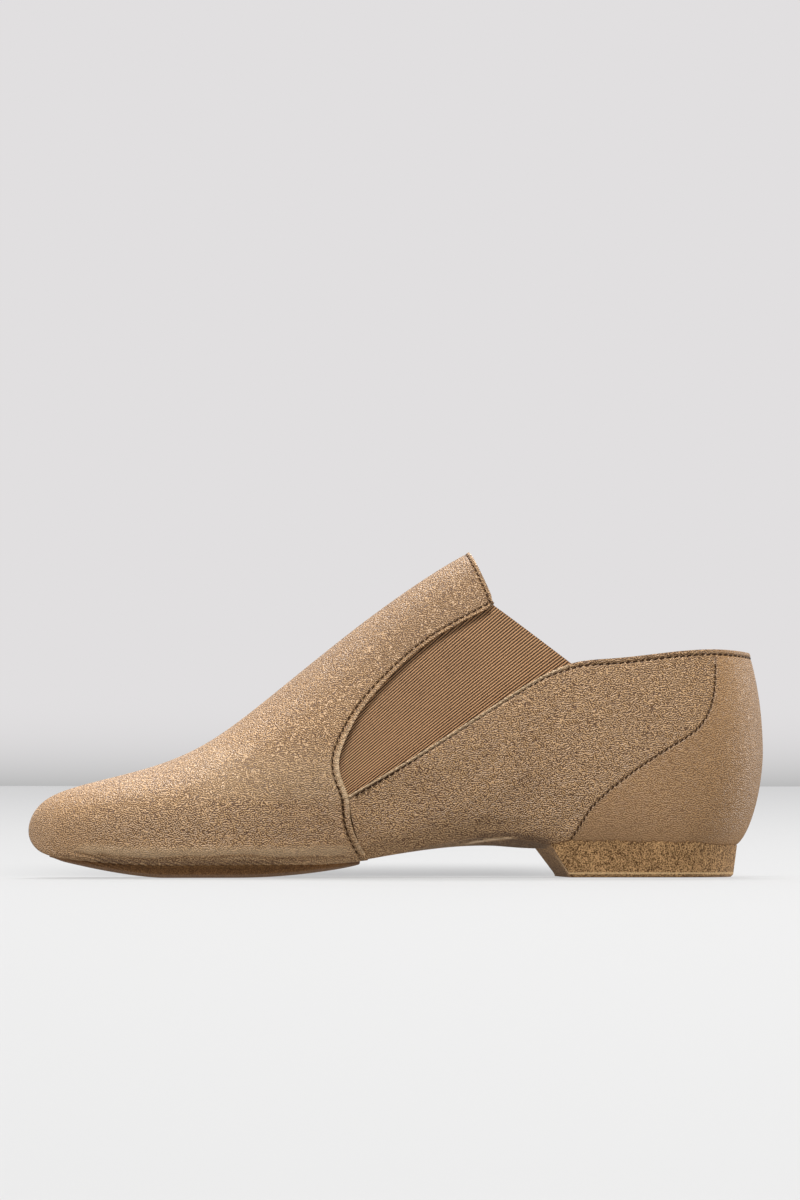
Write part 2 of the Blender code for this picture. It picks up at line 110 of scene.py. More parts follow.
class SmoothCurve:
    """Cubic curve through a few values, with no jump in curvature."""

    def __init__(self, knots: Sequence[float], values: Sequence[float], end: float | None = None) -> None:
        """Works out the curve's slopes.

        Args:
            knots: Places of the values, rising.
            values: One value for each place.
            end: Slope at the last place, or None for a natural end.
        """
        self.knots, self.values = np.asarray(knots, float), np.asarray(values, float)
        self.step = np.diff(self.knots)
        count, step, slope = len(self.knots), self.step, np.diff(self.values) / self.step
        system, sums = np.zeros((count, count)), np.zeros(count)
        for i in range(1, count - 1):
            system[i, i - 1:i + 2] = step[i], 2 * (step[i - 1] + step[i]), step[i - 1]
            sums[i] = 3 * (step[i] * slope[i - 1] + step[i - 1] * slope[i])
        system[0, :2], sums[0] = (2, 1), 3 * slope[0]
        system[-1, -2:], sums[-1] = (1, 2), 3 * slope[-1]
        if end is not None:
            system[-1, -2:], sums[-1] = (0, 1), end
        self.tangent = np.linalg.solve(system, sums)

    def __call__(self, place: Array) -> Array:
        """The curve's value at each place, held at its ends."""
        place = np.clip(place, self.knots[0], self.knots[-1])
        i = np.clip(np.searchsorted(self.knots, place, side="right") - 1, 0, len(self.step) - 1)
        h = self.step[i]
        t = (place - self.knots[i]) / h
        ends = self.values[i] * (1 + 2 * t) * (1 - t) ** 2 + self.values[i + 1] * t * t * (3 - 2 * t)
        slopes = self.tangent[i] * t * (1 - t) ** 2 + self.tangent[i + 1] * t * t * (t - 1)
        return ends + h * slopes


@dataclass(frozen=True)
class Section:
    """Cross-section of the last at x."""

    x: float
    axis: float      # y of the ridge
    medial: float    # half-width on the inner side
    lateral: float   # half-width on the outer side
    feather: float   # share of the half-width where the wall meets the underside
    seat: float      # height of the underside
    lift: float      # how much higher the inner edge of the underside is
    belly: float     # height of the widest point
    ridge: float     # height of the top
    wall: float      # roundness below the belly
    dome: float      # roundness above the belly


SECTIONS = (
    Section(0, -5.0, 0.0, 0.0, 0.86, 15.5, 0.0, 15.5, 15.5, 2.0, 2.3),
    Section(4, -5.0, 13.0, 13.0, 0.86, 8.6, 0.0, 15.6, 24.4, 2.0, 2.3),
    Section(14, -4.5, 23.5, 24.0, 0.86, 6.2, 0.0, 15.8, 29.6, 2.0, 2.3),
    Section(34, -3.0, 33.0, 34.5, 0.86, 4.6, 0.0, 16.5, 34.9, 2.0, 2.3),
    Section(58, -1.0, 38.5, 40.0, 0.86, 4.4, 0.0, 18.0, 44.0, 2.0, 2.2),
    Section(82, 0.5, 38.5, 42.5, 0.85, 4.5, 0.0, 21.0, 61.3, 2.0, 2.1),
    Section(108, 1.0, 35.0, 40.5, 0.82, 5.6, 0.0, 27.0, 82.2, 2.0, 2.0),
    Section(136, 1.0, 31.0, 35.5, 0.79, 9.4, 1.6, 33.0, 102.2, 1.9, 2.0),
    Section(160, 0.5, 28.8, 31.5, 0.79, 10.3, 2.7, 37.0, 114.5, 1.8, 2.0),
    Section(172, 0.2, 28.4, 30.2, 0.80, 9.5, 1.6, 38.7, 117.1, 1.75, 2.0),
    Section(188, 0.0, 28.4, 29.2, 0.82, 10.4, 0.4, 40.5, 116.0, 1.7, 2.0),
    Section(214, 0.0, 29.0, 29.0, 0.83, 10.4, 0.0, 42.0, 109.0, 1.7, 2.0),
)

# The vamp's back edge from the sole up, as z and x: lap seam, then the gore's front edge
VAMP_EDGE = (
    (6.6, 111.7), (13.5, 107.5), (20.3, 105.5), (27.0, 104.7),
    (33.0, 102.5), (37.5, 101.7), (42.5, 102.7), (48.5, 105.4),
    (55.5, 109.5), (62.5, 115.3), (69.3, 121.8), (74.7, 127.8),
    (80.5, 135.6), (85.5, 144.3), (91.2, 155.2),
)

# The quarter's top edge as x and z: the gore's lower edge, then the collar
TOPLINE = (
    (104.7, 27.0), (123.2, 37.9), (141.3, 49.2), (156.6, 59.0),
    (168.8, 66.4), (180.5, 71.4), (193.8, 73.0), (216.5, 75.5),
    (230.5, 76.2), (243.0, 75.4),
)

# The counter's line of stitching from the collar down, as z and x
COUNTER_LINE = (
    (12.0, 179.6), (18.1, 183.3), (23.2, 186.6), (30.3, 194.1),
    (37.4, 203.6), (44.9, 215.4), (48.6, 221.1), (52.7, 224.7),
    (56.1, 226.5), (64.5, 228.5), (73.0, 228.9),
)


@dataclass
class Last:
    """The form that the leather is shaped over, as points for a length q and a place v up the section."""

    toe_round: float = 15.0
    heel_x: float = 214.0
    heel_reach: float = 34.0
    heel_arc: float = 50.0
    heel_seat_share: float = 0.70
    heel_plan: float = 2.2
    feather: float = 0.30
    belly: float = 0.50
    lasting_margin: float = 13.0
    forefoot_hole: tuple[float, float] = (18.0, 99.0)
    heel_hole_front: float = 188.0
    curves: dict[str, SmoothCurve] = field(default_factory=dict)

    def __post_init__(self) -> None:
        """Draws a smooth curve through each column of the sections."""
        knots = [float(self.from_x(row.x)) for row in SECTIONS]
        for name in list(Section.__dataclass_fields__)[1:]:
            self.curves[name] = SmoothCurve(knots, [getattr(row, name) for row in SECTIONS], 0.0)

    @property
    def back_q(self) -> float:
        """Length q at the middle of the heel's back."""
        return self.heel_x + self.heel_arc

    def from_x(self, x: Array) -> Array:
        """Length that is stretched at the toe, so that the toe closes in a round nose."""
        return np.sqrt(x * x + 2 * self.toe_round * x)

    def to_x(self, stretched: Array) -> Array:
        """The way back from from_x."""
        return np.sqrt(stretched * stretched + self.toe_round**2) - self.toe_round

    def section_at(self, x: Array, side: Side) -> dict[str, Array]:
        """The section's values at x, with those of one side as half and edge."""
        row = {name: curve(self.from_x(x)) for name, curve in self.curves.items()}
        row["half"] = row["medial"] if side is Side.MEDIAL else row["lateral"]
        row["edge"] = row["seat"] + (row["lift"] if side is Side.MEDIAL else 0.0)
        return row

    def angles(self, v: Array) -> tuple[Array, Array]:
        """Angles up the wall and over the dome at v, each from 0 to a quarter turn."""
        wall = np.clip((v - self.feather) / (self.belly - self.feather), 0, 1) * QUARTER_TURN
        dome = np.clip((v - self.belly) / (1 - self.belly), 0, 1) * QUARTER_TURN
        return wall, dome

    def heel_turn(self, q: Array) -> Array:
        """Angle round the heel's back at q."""
        return np.maximum(q - self.heel_x, 0.0) / self.heel_arc * QUARTER_TURN

    def point(self, q: Array, v: Array, side: Side) -> Array:
        """Point of the last.

        Args:
            q: x up to the heel section, from where it turns round the back.
            v: 0 in the middle of the underside, 1 on the ridge.
            side: Inner or outer side.

        Returns:
            Points in the shoe's millimetres.
        """
        q, v = np.broadcast_arrays(np.asarray(q, float), np.asarray(v, float))
        x = np.clip(q, 0.0, self.heel_x)
        row = self.section_at(x, side)
        under = np.clip(v / self.feather, 0, 1)
        wall, dome = self.angles(v)
        share, low = row["feather"], v < self.feather
        bulge = np.where(low, 0.0, power(np.sin(wall), 2 / row["wall"]))
        lower = np.where(low, share * under, share + (1 - share) * bulge)
        out = np.where(v < self.belly, lower, power(np.cos(dome), 2 / row["dome"]))
        under_z = row["seat"] + (row["edge"] - row["seat"]) * under**2
        wall_z = row["belly"] - (row["belly"] - row["edge"]) * power(np.cos(wall), 2 / row["wall"])
        dome_z = row["belly"] + (row["ridge"] - row["belly"]) * power(np.sin(dome), 2 / row["dome"])
        z = np.where(low, under_z, np.where(v < self.belly, wall_z, dome_z))
        turn = self.heel_turn(q)
        seat = self.heel_seat_share
        back = np.where(v < self.belly, np.where(low, seat * under, seat + (1 - seat) * bulge), out)
        return np.stack([
            x + self.heel_reach * back * power(np.sin(turn), 2 / self.heel_plan),
            row["axis"] + side.value * row["half"] * out * power(np.cos(turn), 2 / self.heel_plan),
            z,
        ], axis=-1)

    def normal(self, q: Array, v: Array, side: Side) -> Array:
        """Outward normal of the last."""
        q, v = np.broadcast_arrays(np.asarray(q, float), np.asarray(v, float))
        low, high = np.maximum(v - 0.003, 0.0), np.minimum(v + 0.003, 1.0)
        along = self.point(q + 0.3, v, side) - self.point(np.maximum(q - 0.3, 0.0), v, side)
        up = self.point(q, high, side) - self.point(q, low, side)
        level = (v <= 0) | (v >= 1)
        up[..., 2] = np.where(level, 0.0, up[..., 2])
        normal = -side.value * np.cross(along, up)
        normal[..., 1] = np.where(level | (q >= self.back_q), 0.0, normal[..., 1])
        normal = np.where((q <= 0)[..., None], np.array([-1.0, 0.0, 0.0]), normal)
        normal = np.where(((v <= 0) & (q > self.heel_x))[..., None], np.array([0.0, 0.0, -1.0]), normal)
        return normal / np.linalg.norm(normal, axis=-1, keepdims=True)

    def offset(self, q: Array, v: Array, side: Side, depth: Array) -> Array:
        """Point at a depth under the last's surface."""
        return self.point(q, v, side) - np.asarray(depth, float)[..., None] * self.normal(q, v, side)

    def height_place(self, x: Array, z: Array, side: Side) -> Array:
        """Place v on the section at x where its wall or dome is at height z."""
        row = self.section_at(np.minimum(x, self.heel_x), side)
        up = np.clip((z - row["belly"]) / (row["ridge"] - row["belly"]), 0, 1)
        down = np.clip((row["belly"] - z) / (row["belly"] - row["edge"]), 0, 1)
        dome = np.arcsin(up ** (row["dome"] / 2)) / QUARTER_TURN
        wall = np.arccos(down ** (row["wall"] / 2)) / QUARTER_TURN
        low = self.feather + (self.belly - self.feather) * wall
        return np.where(z >= row["belly"], self.belly + (1 - self.belly) * dome, low)

    def back_share(self, v: Array) -> Array:
        """Share of the heel's reach at v, from the underside's edge up."""
        last = SECTIONS[-1]
        wall, dome = self.angles(v)
        low = self.heel_seat_share + (1 - self.heel_seat_share) * np.sin(wall) ** (2 / last.wall)
        return np.where(v < self.belly, low, np.cos(dome) ** (2 / last.dome))

    def locate(self, x: Array, z: Array, side: Side) -> tuple[Array, Array]:
        """q and v of the surface point that is seen at x and z from the side."""
        v = self.height_place(x, z, side)
        reach = self.heel_reach * self.back_share(v)
        share = np.clip((x - self.heel_x) / reach, 0, 1) ** (self.heel_plan / 2)
        turn = np.arcsin(share) / QUARTER_TURN
        return np.where(x <= self.heel_x, x, self.heel_x + self.heel_arc * turn), v

    def topline_place(self, q: Array, side: Side, topline: SmoothCurve) -> Array:
        """Place v of the topline on each section, round the back too."""
        turn = self.heel_turn(q)
        x = np.minimum(q, self.heel_x)
        v = self.height_place(x, topline(x), side)
        for _ in range(3):
            reach = self.heel_reach * self.back_share(v) * power(np.sin(turn), 2 / self.heel_plan)
            v = self.height_place(x, topline(x + reach), side)
        return v

    def hole_place(self, q: Array, side: Side) -> Array:
        """Place v where the turned-in leather ends under the insole."""
        row = self.section_at(np.minimum(q, self.heel_x), side)
        flat = row["half"] * row["feather"]
        share = np.clip(1 - self.lasting_margin / np.maximum(flat, self.lasting_margin), 0, 1)
        start, end = self.forefoot_hole
        forefoot = np.clip(1 - np.abs((2 * q - start - end) / (end - start)) ** 4, 0, 1) ** 0.25
        ahead = np.clip((self.heel_x - q) / (self.heel_x - self.heel_hole_front), 0, 1)
        heel = np.clip(1 - ahead**3, 0, 1) ** (1 / 3)
        return self.feather * share * np.where(q < self.heel_hole_front, forefoot, heel)


@dataclass(frozen=True)
class Crease:
    """Soft trough, or ridge where the depth is negative, between two places seen from the side."""

    start: tuple[float, float]
    end: tuple[float, float]
    depth: float
    width: float
    bow: float = 0.0      # how far its middle is pushed up

    def drop(self, x: Array, z: Array) -> Array:
        """Depth of the crease at each place."""
        run = np.subtract(self.end, self.start)
        length = float(np.hypot(*run))
        along = ((x - self.start[0]) * run[0] + (z - self.start[1]) * run[1]) / length**2
        middle = 4 * np.clip(along, 0, 1) * (1 - np.clip(along, 0, 1))
        across = ((z - self.start[1]) * run[0] - (x - self.start[0]) * run[1]) / length - self.bow * middle
        ends = smoothstep((along + 0.15) / 0.4) * smoothstep((1.15 - along) / 0.4)
        return self.depth * ends * bell(across, 0.0, self.width)


def deselect() -> None:
    """Leaves edit mode with nothing selected."""
    if bpy.context.object is not None and bpy.context.object.mode != "OBJECT":
        bpy.ops.object.mode_set(mode="OBJECT")
    bpy.ops.object.select_all(action="DESELECT")


def select_only(*pieces: bpy.types.Object) -> None:
    """Selects pieces, the last of them active."""
    deselect()
    for piece in pieces:
        piece.select_set(True)
        bpy.context.view_layer.objects.active = piece


@contextmanager
def editing(piece: bpy.types.Object) -> Iterator[None]:
    """Edit mode for a while, with all of a piece selected."""
    select_only(piece)
    bpy.ops.object.mode_set(mode="EDIT")
    bpy.ops.mesh.select_all(action="SELECT")
    yield
    bpy.ops.object.mode_set(mode="OBJECT")


def vertex_places(piece: bpy.types.Object) -> Array:
    """A piece's vertices in the shoe's millimetres."""
    flat = np.empty(len(piece.data.vertices) * 3)
    piece.data.vertices.foreach_get("co", flat)
    return flat.reshape(-1, 3) / MM + MIDDLE


def place_vertices(piece: bpy.types.Object, places: Array) -> None:
    """Puts a piece's vertices at places given in the shoe's millimetres."""
    piece.data.vertices.foreach_set("co", ((places - MIDDLE) * MM).astype(np.float32).ravel())
    piece.data.update()


def make_grid(name: str, points: Array, outward: Array | None = None) -> bpy.types.Object:
    """Sheet of quads through a grid of points.

    Args:
        name: Name of the new object.
        points: Columns by rows of points, in the shoe's millimetres.
        outward: The way that the sheet faces at each point, if it matters.

    Returns:
        The new object, with its place in its mesh.
    """
    deselect()
    columns, rows = points.shape[0] - 1, points.shape[1] - 1
    bpy.ops.mesh.primitive_grid_add(x_subdivisions=columns, y_subdivisions=rows, size=1, location=(0, 0, 0))
    piece = bpy.context.object
    piece.name = piece.data.name = name
    flat = np.empty(len(piece.data.vertices) * 3)
    piece.data.vertices.foreach_get("co", flat)
    flat = flat.reshape(-1, 3)
    i = np.rint((flat[:, 0] + 0.5) * columns).astype(int)
    j = np.rint((flat[:, 1] + 0.5) * rows).astype(int)
    place_vertices(piece, points[i, j])
    if outward is not None:
        faces = np.empty(len(piece.data.polygons) * 3)
        piece.data.polygons.foreach_get("normal", faces)
        corner = np.array([face.vertices[0] for face in piece.data.polygons])
        if np.sum(faces.reshape(-1, 3) * outward[i, j][corner]) < 0:
            with editing(piece):
                bpy.ops.mesh.flip_normals()
    return piece


def join(name: str, pieces: Sequence[bpy.types.Object]) -> bpy.types.Object:
    """Joins pieces and merges the points that they share."""
    select_only(*pieces)
    bpy.ops.object.join()
    piece = bpy.context.object
    piece.name = piece.data.name = name
    with editing(piece):
        bpy.ops.mesh.remove_doubles(threshold=SAME_POINT)
        bpy.ops.mesh.dissolve_degenerate(threshold=NO_LENGTH)
    return piece


def finish_modifier(piece: bpy.types.Object, kind: str, **settings: Any) -> None:
    """Adds a modifier with its settings and applies it."""
    select_only(piece)
    modifier = piece.modifiers.new(kind.lower(), kind)
    for key, value in settings.items():
        setattr(modifier, key, value)
    bpy.ops.object.modifier_apply(modifier=modifier.name)


def shade(piece: bpy.types.Object, degrees: float = 40.0) -> None:
    """Smooth shading with sharp edges past an angle."""
    select_only(piece)
    bpy.ops.object.shade_smooth_by_angle(angle=math.radians(degrees))


def paint(piece: bpy.types.Object, name: str, values: Array) -> None:
    """Keeps one number for each vertex, for the finish to read."""
    layer = piece.data.attributes.new(name, "FLOAT", "POINT")
    layer.data.foreach_set("value", np.asarray(values, np.float32))


def nearest(line: Array, places: Array) -> tuple[Array, Array]:
    """Distance from each place to a line of points, and the length along the line there.

    Args:
        line: Points of the line, close together, in order.
        places: The places to measure from.

    Returns:
        Distances and lengths, in millimetres.
    """
    tree = KDTree(len(line))
    for number, point in enumerate(line):
        tree.insert(point, number)
    tree.balance()
    found = [tree.find(place) for place in places]
    return np.array([hit[2] for hit in found]), lengths(line)[[hit[1] for hit in found]]


def add_piece(piece: bpy.types.Object, slot: str, *nodes: str) -> bpy.types.Object:
    """Puts a finished piece on the frame's body and hides the nodes that it stands for."""
    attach(piece, "root")
    if nodes:
        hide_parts(*nodes)
    piece.data.calc_loop_triangles()
    LOG.info("%s: %d triangles", piece.name, len(piece.data.loop_triangles))
    return piece


class Wire:
    """An output socket of a node sheet, with arithmetic that adds Math nodes."""

    def __init__(self, sheet: "NodeSheet", socket: bpy.types.NodeSocket) -> None:
        """Wraps one socket of a sheet."""
        self.sheet, self.socket = sheet, socket

    def math(self, operation: str, *others: Value) -> "Wire":
        """A Math node with this value first."""
        inputs = dict(enumerate((self, *others)))
        return self.sheet.add("ShaderNodeMath", {"operation": operation}, inputs)

    def __add__(self, other: Value) -> "Wire":
        """This value plus another."""
        return self.math("ADD", other)

    __radd__ = __add__

    def __mul__(self, other: Value) -> "Wire":
        """This value times another."""
        return self.math("MULTIPLY", other)

    __rmul__ = __mul__

    def __sub__(self, other: Value) -> "Wire":
        """This value less another."""
        return self.math("SUBTRACT", other)

    def __rsub__(self, other: float) -> "Wire":
        """A number less this value."""
        return (self * -1.0) + other

    def __abs__(self) -> "Wire":
        """The value without its sign."""
        return self.math("ABSOLUTE")

    def wave(self, length: float = 1.0) -> "Wire":
        """Even waves from 0 to 1 along the value, each of one length."""
        return (self * (TURN / length)).math("SINE") * 0.5 + 0.5

    def ramp(self, low: float, high: float) -> "Wire":
        """Soft ramp from 0 at low to 1 at high."""
        settings = {"interpolation_type": "SMOOTHSTEP"}
        return self.sheet.add("ShaderNodeMapRange", settings, {0: self, 1: low, 2: high, 3: 0.0, 4: 1.0})


class NodeSheet:
    """A material's nodes."""

    def __init__(self, name: str) -> None:
        """Starts a material with one principled shader."""
        self.material = bpy.data.materials.new(name)
        self.material.use_nodes = True
        self.tree = self.material.node_tree
        self.shader = self.tree.nodes["Principled BSDF"]

    def add(self, kind: str, settings: dict[str, Any], inputs: dict[Any, Any], output: Any = 0) -> Wire:
        """Adds any node.

        Args:
            kind: The node's type.
            settings: Its settings.
            inputs: Numbers, colours or wires for its sockets, by name or number.
            output: Name or number of the socket that is returned.

        Returns:
            The node's output.
        """
        node = self.tree.nodes.new(kind)
        for key, value in settings.items():
            setattr(node, key, value)
        for key, value in inputs.items():
            self.feed(node.inputs[key], value)
        return Wire(self, node.outputs[output])

    def feed(self, socket: bpy.types.NodeSocket, value: Any) -> None:
        """Links a wire to a socket, or sets the socket's own value."""
        if isinstance(value, Wire):
            self.tree.links.new(value.socket, socket)
        elif isinstance(value, tuple) and socket.type == "RGBA":
            socket.default_value = (*value, 1.0)
        else:
            socket.default_value = value

    def set(self, **inputs: Any) -> bpy.types.Material:
        """Feeds the principled shader; an underscore in a name stands for a space."""
        for name, value in inputs.items():
            self.feed(self.shader.inputs[name.replace("_", " ")], value)
        return self.material

    def place(self) -> Wire:
        """Object coordinates, in metres."""
        return self.add("ShaderNodeTexCoord", {}, {}, "Object")

    def number(self, name: str) -> Wire:
        """A number that the piece keeps for each vertex."""
        return self.add("ShaderNodeAttribute", {"attribute_name": name}, {}, "Fac")

    def noise(self, where: Wire, scale: float, detail: float = 3.0, rough: float = 0.5) -> Wire:
        """Cloudy noise from 0 to 1, with a scale per metre."""
        inputs = {"Vector": where, "Scale": scale, "Detail": detail, "Roughness": rough}
        return self.add("ShaderNodeTexNoise", {}, inputs, 0)

    def ridges(self, where: Wire, per_m: float, even: float = 2.0) -> Wire:
        """Winding ridges of even width from 0 to 1, with a number of them per metre."""
        inputs = {"Vector": where, "Scale": per_m / even, "Frequency": even, "Anisotropy": 0.1}
        phase = self.add("ShaderNodeTexGabor", {"gabor_type": "3D"}, inputs, "Phase")
        return phase.wave()

    def warp(self, where: Wire, scale: float, amount: float) -> Wire:
        """Coordinates pushed about by noise."""
        inputs = {"Vector": where, "Scale": scale, "Detail": 2.0}
        cloud = self.add("ShaderNodeTexNoise", {}, inputs, "Color")
        centred = self.add("ShaderNodeVectorMath", {"operation": "SUBTRACT"}, {0: cloud, 1: (0.5, 0.5, 0.5)})
        pushed = self.add("ShaderNodeVectorMath", {"operation": "SCALE"}, {0: centred, "Scale": amount})
        return self.add("ShaderNodeVectorMath", {"operation": "ADD"}, {0: where, 1: pushed})

    def split(self, where: Wire) -> list[Wire]:
        """The x, y and z of a place."""
        node = self.add("ShaderNodeSeparateXYZ", {}, {0: where}).socket.node
        return [Wire(self, output) for output in node.outputs]

    def mix(self, share: Any, first: Any, second: Any) -> Wire:
        """Mix of two colours."""
        return self.add("ShaderNodeMix", {"data_type": "RGBA"}, {0: share, 6: first, 7: second}, 2)

    def bump(self, height: Wire, depth_mm: float, under: Wire | None = None) -> Wire:
        """Normal of a relief whose height runs from 0 to 1 over a depth in millimetres."""
        inputs = {"Height": height, "Strength": 1.0, "Distance": depth_mm * MM}
        if under is not None:
            inputs["Normal"] = under
        return self.add("ShaderNodeBump", {}, inputs)


@dataclass(frozen=True)
class GrainedLeather:
    """Soft satin leather with a fine pebble grain, folded hems and sunk stitch lines, with painted highlights
    and painted shade in its colour.
    """

    crown: Colour = linear(212, 171, 123)
    body: Colour = linear(164, 122, 75)
    valley: Colour = linear(94, 60, 28)
    light_edge: Colour = linear(230, 199, 158)
    dark_edge: Colour = linear(84, 53, 26)
    grain_per_m: float = 1650.0
    grain_depth_mm: float = 0.28
    grain_stretch: tuple[float, float, float] = (0.88, 1.0, 1.1)
    cloud_per_m: float = 42.0
    seam_depth_mm: float = 0.3
    stitch_mm: float = 2.3

    def material(self) -> bpy.types.Material:
        """Builds the leather's material."""
        sheet = NodeSheet("tan leather")
        place = sheet.place()
        strength = sheet.number("grain")
        stretched = sheet.add("ShaderNodeMapping", {}, {"Vector": place, "Scale": self.grain_stretch})
        clouds = sheet.noise(place, self.cloud_per_m)
        pads = sheet.ridges(stretched, self.grain_per_m)
        relief = pads * 0.85 + sheet.noise(place, self.grain_per_m * 2.5, 2.0) * 0.15
        grain = 0.5 + (relief - 0.5) * strength

        # Grain tone: darker valleys and lighter crowns, partly the leather's own colour and partly painted
        # shade in the valleys and painted highlight on the crowns.
        tone = sheet.mix(grain.ramp(0.1, 0.5), self.valley, self.body)
        tone = sheet.mix(grain.ramp(0.5, 0.9), tone, self.crown)
        tone = sheet.mix(clouds.ramp(0.35, 0.75) * 0.12, tone, self.valley)

        # This number carries painted light: painted highlights where it is positive, brightest between the
        # hem's stitches, and painted shade where it is negative, with the collar's darker band.
        tint, run = sheet.number("tint"), sheet.number("hem_run")
        hem, stitch = sheet.number("hem"), sheet.number("stitch_line")
        near = 1.0 - hem.ramp(2.6, 4.0)
        pull = run.wave(self.stitch_mm)
        groove = 1.0 - abs(stitch).ramp(0.1, 0.7)
        pale = tint.ramp(0.0, 1.0) * (0.35 + pull * near * 0.45) + tint.ramp(1.0, 2.0) * 0.5
        tone = sheet.mix(pale, tone, self.light_edge)
        tone = sheet.mix((tint * -1.0).ramp(0.0, 1.0) * 0.62, tone, self.dark_edge)
        # Painted shade in the sunk groove of the stitches.
        tone = sheet.mix(groove * 0.3, tone, self.dark_edge)

        soft = sheet.bump(grain, self.grain_depth_mm)
        sewn = sheet.bump((1.0 - groove) * (1.0 - pull * near * 0.25), self.seam_depth_mm, soft)
        rough = 0.42 + (1.0 - grain) * 0.2 + clouds * 0.06
        return sheet.set(Base_Color=tone, Roughness=rough, Normal=sewn, Specular_IOR_Level=0.8)


@dataclass(frozen=True)
class RibbedElastic:
    """Elastic cloth: raised ribs with fine cross threads in the dips between them."""

    crown: Colour = linear(214, 164, 116)
    dip: Colour = linear(36, 18, 7)
    rib_depth_mm: float = 0.38
    thread_mm: float = 0.45
    fuzz_per_m: float = 2600.0
    wear_per_m: float = 55.0

    def material(self) -> bpy.types.Material:
        """Builds the elastic's material."""
        sheet = NodeSheet("brown elastic")
        place = sheet.place()
        wave = sheet.number("rib").wave()
        thread = sheet.number("rib_run").wave(self.thread_mm)
        fuzz = sheet.noise(place, self.fuzz_per_m, rough=0.6)
        height = wave * 0.8 + thread * (1.0 - wave) * 0.25 + fuzz * 0.12
        # Dips much darker than the crowns: partly the cross threads' own colour, partly painted shade between
        # the ribs.
        tone = sheet.mix(height.ramp(0.15, 0.75), self.dip, self.crown)
        tone = sheet.mix(sheet.noise(place, self.wear_per_m) * 0.35, tone, self.dip)
        return sheet.set(
            Base_Color=tone, Roughness=0.82, Normal=sheet.bump(height, self.rib_depth_mm),
            Specular_IOR_Level=0.25, Sheen_Weight=0.12, Sheen_Roughness=0.6,
        )


@dataclass(frozen=True)
class Suede:
    """Rough leather with a short nap, darker where it is worn, lighter along its edges, and darkened with
    painted shade where its edge number is negative.
    """

    name: str
    light: Colour
    dark: Colour
    edge: Colour
    nap_per_m: float = 2400.0
    nap_depth_mm: float = 0.3
    tuft_per_m: float = 500.0
    wear_per_m: float = 70.0

    def material(self) -> bpy.types.Material:
        """Builds the suede's material."""
        sheet = NodeSheet(self.name)
        place = sheet.place()
        nap = sheet.noise(place, self.nap_per_m, rough=0.6)
        tuft = sheet.noise(place, self.tuft_per_m, 2.0)
        height = nap * 0.85 + tuft * 0.15
        tone = sheet.mix(height.ramp(0.41, 0.6), self.dark, self.light)
        tone = sheet.mix(sheet.noise(place, self.wear_per_m).ramp(0.35, 0.75) * 0.2, tone, self.dark)
        rim = sheet.number("rim")
        tone = sheet.mix(rim.ramp(0.0, 1.0) * (0.55 + nap * 0.6), tone, self.edge)
        # Painted shade where this number is negative.
        tone = sheet.mix((rim * -1.0).ramp(0.0, 1.0), tone, self.dark)
        return sheet.set(
            Base_Color=tone, Roughness=0.95, Normal=sheet.bump(height, self.nap_depth_mm),
            Specular_IOR_Level=0.1, Sheen_Weight=0.08, Sheen_Roughness=0.7,
        )


@dataclass(frozen=True)
class SewingThread:
    """Dark brown waxed thread, twisted."""

    dark: Colour = linear(34, 21, 13)
    light: Colour = linear(74, 50, 32)
    twist_per_m: float = 3200.0
    twist_depth_mm: float = 0.06

    def material(self) -> bpy.types.Material:
        """Builds the thread's material."""
        sheet = NodeSheet("brown thread")
        place = sheet.place()
        twist = sheet.noise(place, self.twist_per_m, 2.0)
        tone = sheet.mix(twist.ramp(0.3, 0.7), self.dark, self.light)
        return sheet.set(
            Base_Color=tone, Roughness=0.85, Normal=sheet.bump(twist, self.twist_depth_mm),
            Specular_IOR_Level=0.12,
        )


@dataclass(frozen=True)
class WovenLining:
    """Plain weave lining cloth."""

    name: str
    light: Colour
    dark: Colour
    thread_mm: float = 0.55
    weave_depth_mm: float = 0.08
    sway_per_m: float = 300.0
    sway_mm: float = 0.2
    wear_per_m: float = 90.0

    def material(self) -> bpy.types.Material:
        """Builds the lining's material."""
        sheet = NodeSheet(self.name)
        place = sheet.place()
        turns = TURN / (self.thread_mm * MM)
        swayed = sheet.warp(place, self.sway_per_m, self.sway_mm * MM)
        x, y, z = (part * turns for part in sheet.split(swayed))
        warp, weft = x.math("SINE"), (y + z).math("SINE")
        weave = warp * weft * 0.5 + 0.5
        tone = sheet.mix(weave * 0.7 + sheet.noise(place, self.wear_per_m) * 0.3, self.dark, self.light)
        return sheet.set(
            Base_Color=tone, Roughness=0.9, Normal=sheet.bump(weave, self.weave_depth_mm),
            Specular_IOR_Level=0.2,
        )


@dataclass(frozen=True)
class Hem:
    """Folded and stitched edge: a soft roll beside a sunk line of stitches."""

    roll: float = 0.24      # how far the fold stands out
    sink: float = 0.24      # how deep the stitches pull the leather in
    pitch: float = 2.3      # one stitch with its gap
    groove: float = 0.42    # half-width of the sunk line

    def drop(self, away: Array, run: Array, inset: Array) -> Array:
        """Depth of the hem's relief.

        Args:
            away: Distance from the edge.
            run: Length along the edge.
            inset: Distance of the stitches from the edge.

        Returns:
            Depth under the smooth leather, negative where the fold stands out.
        """
        pull = 0.5 - 0.5 * np.cos(TURN * run / self.pitch)
        fold = self.roll * (0.6 + 0.4 * pull) * bell(away, 0.45 * inset, 0.5 * inset)
        return self.sink * bell(away, inset, self.groove) - fold


@dataclass(frozen=True)
class Panel:
    """One cut piece of the upper, with its creases."""

    name: str
    creases: tuple[Crease, ...]
    pleated: bool                        # gathered into the sole at its lower edge
    insets: tuple[float, float]          # distances of its stitches from the sewn edge, low and high up
    inset_change: tuple[float, float]    # height where the distance starts to change, and over what length

    def inset(self, z: Array) -> Array:
        """Distance of the stitches from the sewn edge at a height."""
        low, high = self.insets
        start, length = self.inset_change
        return low + (high - low) * smoothstep((z - start) / length)


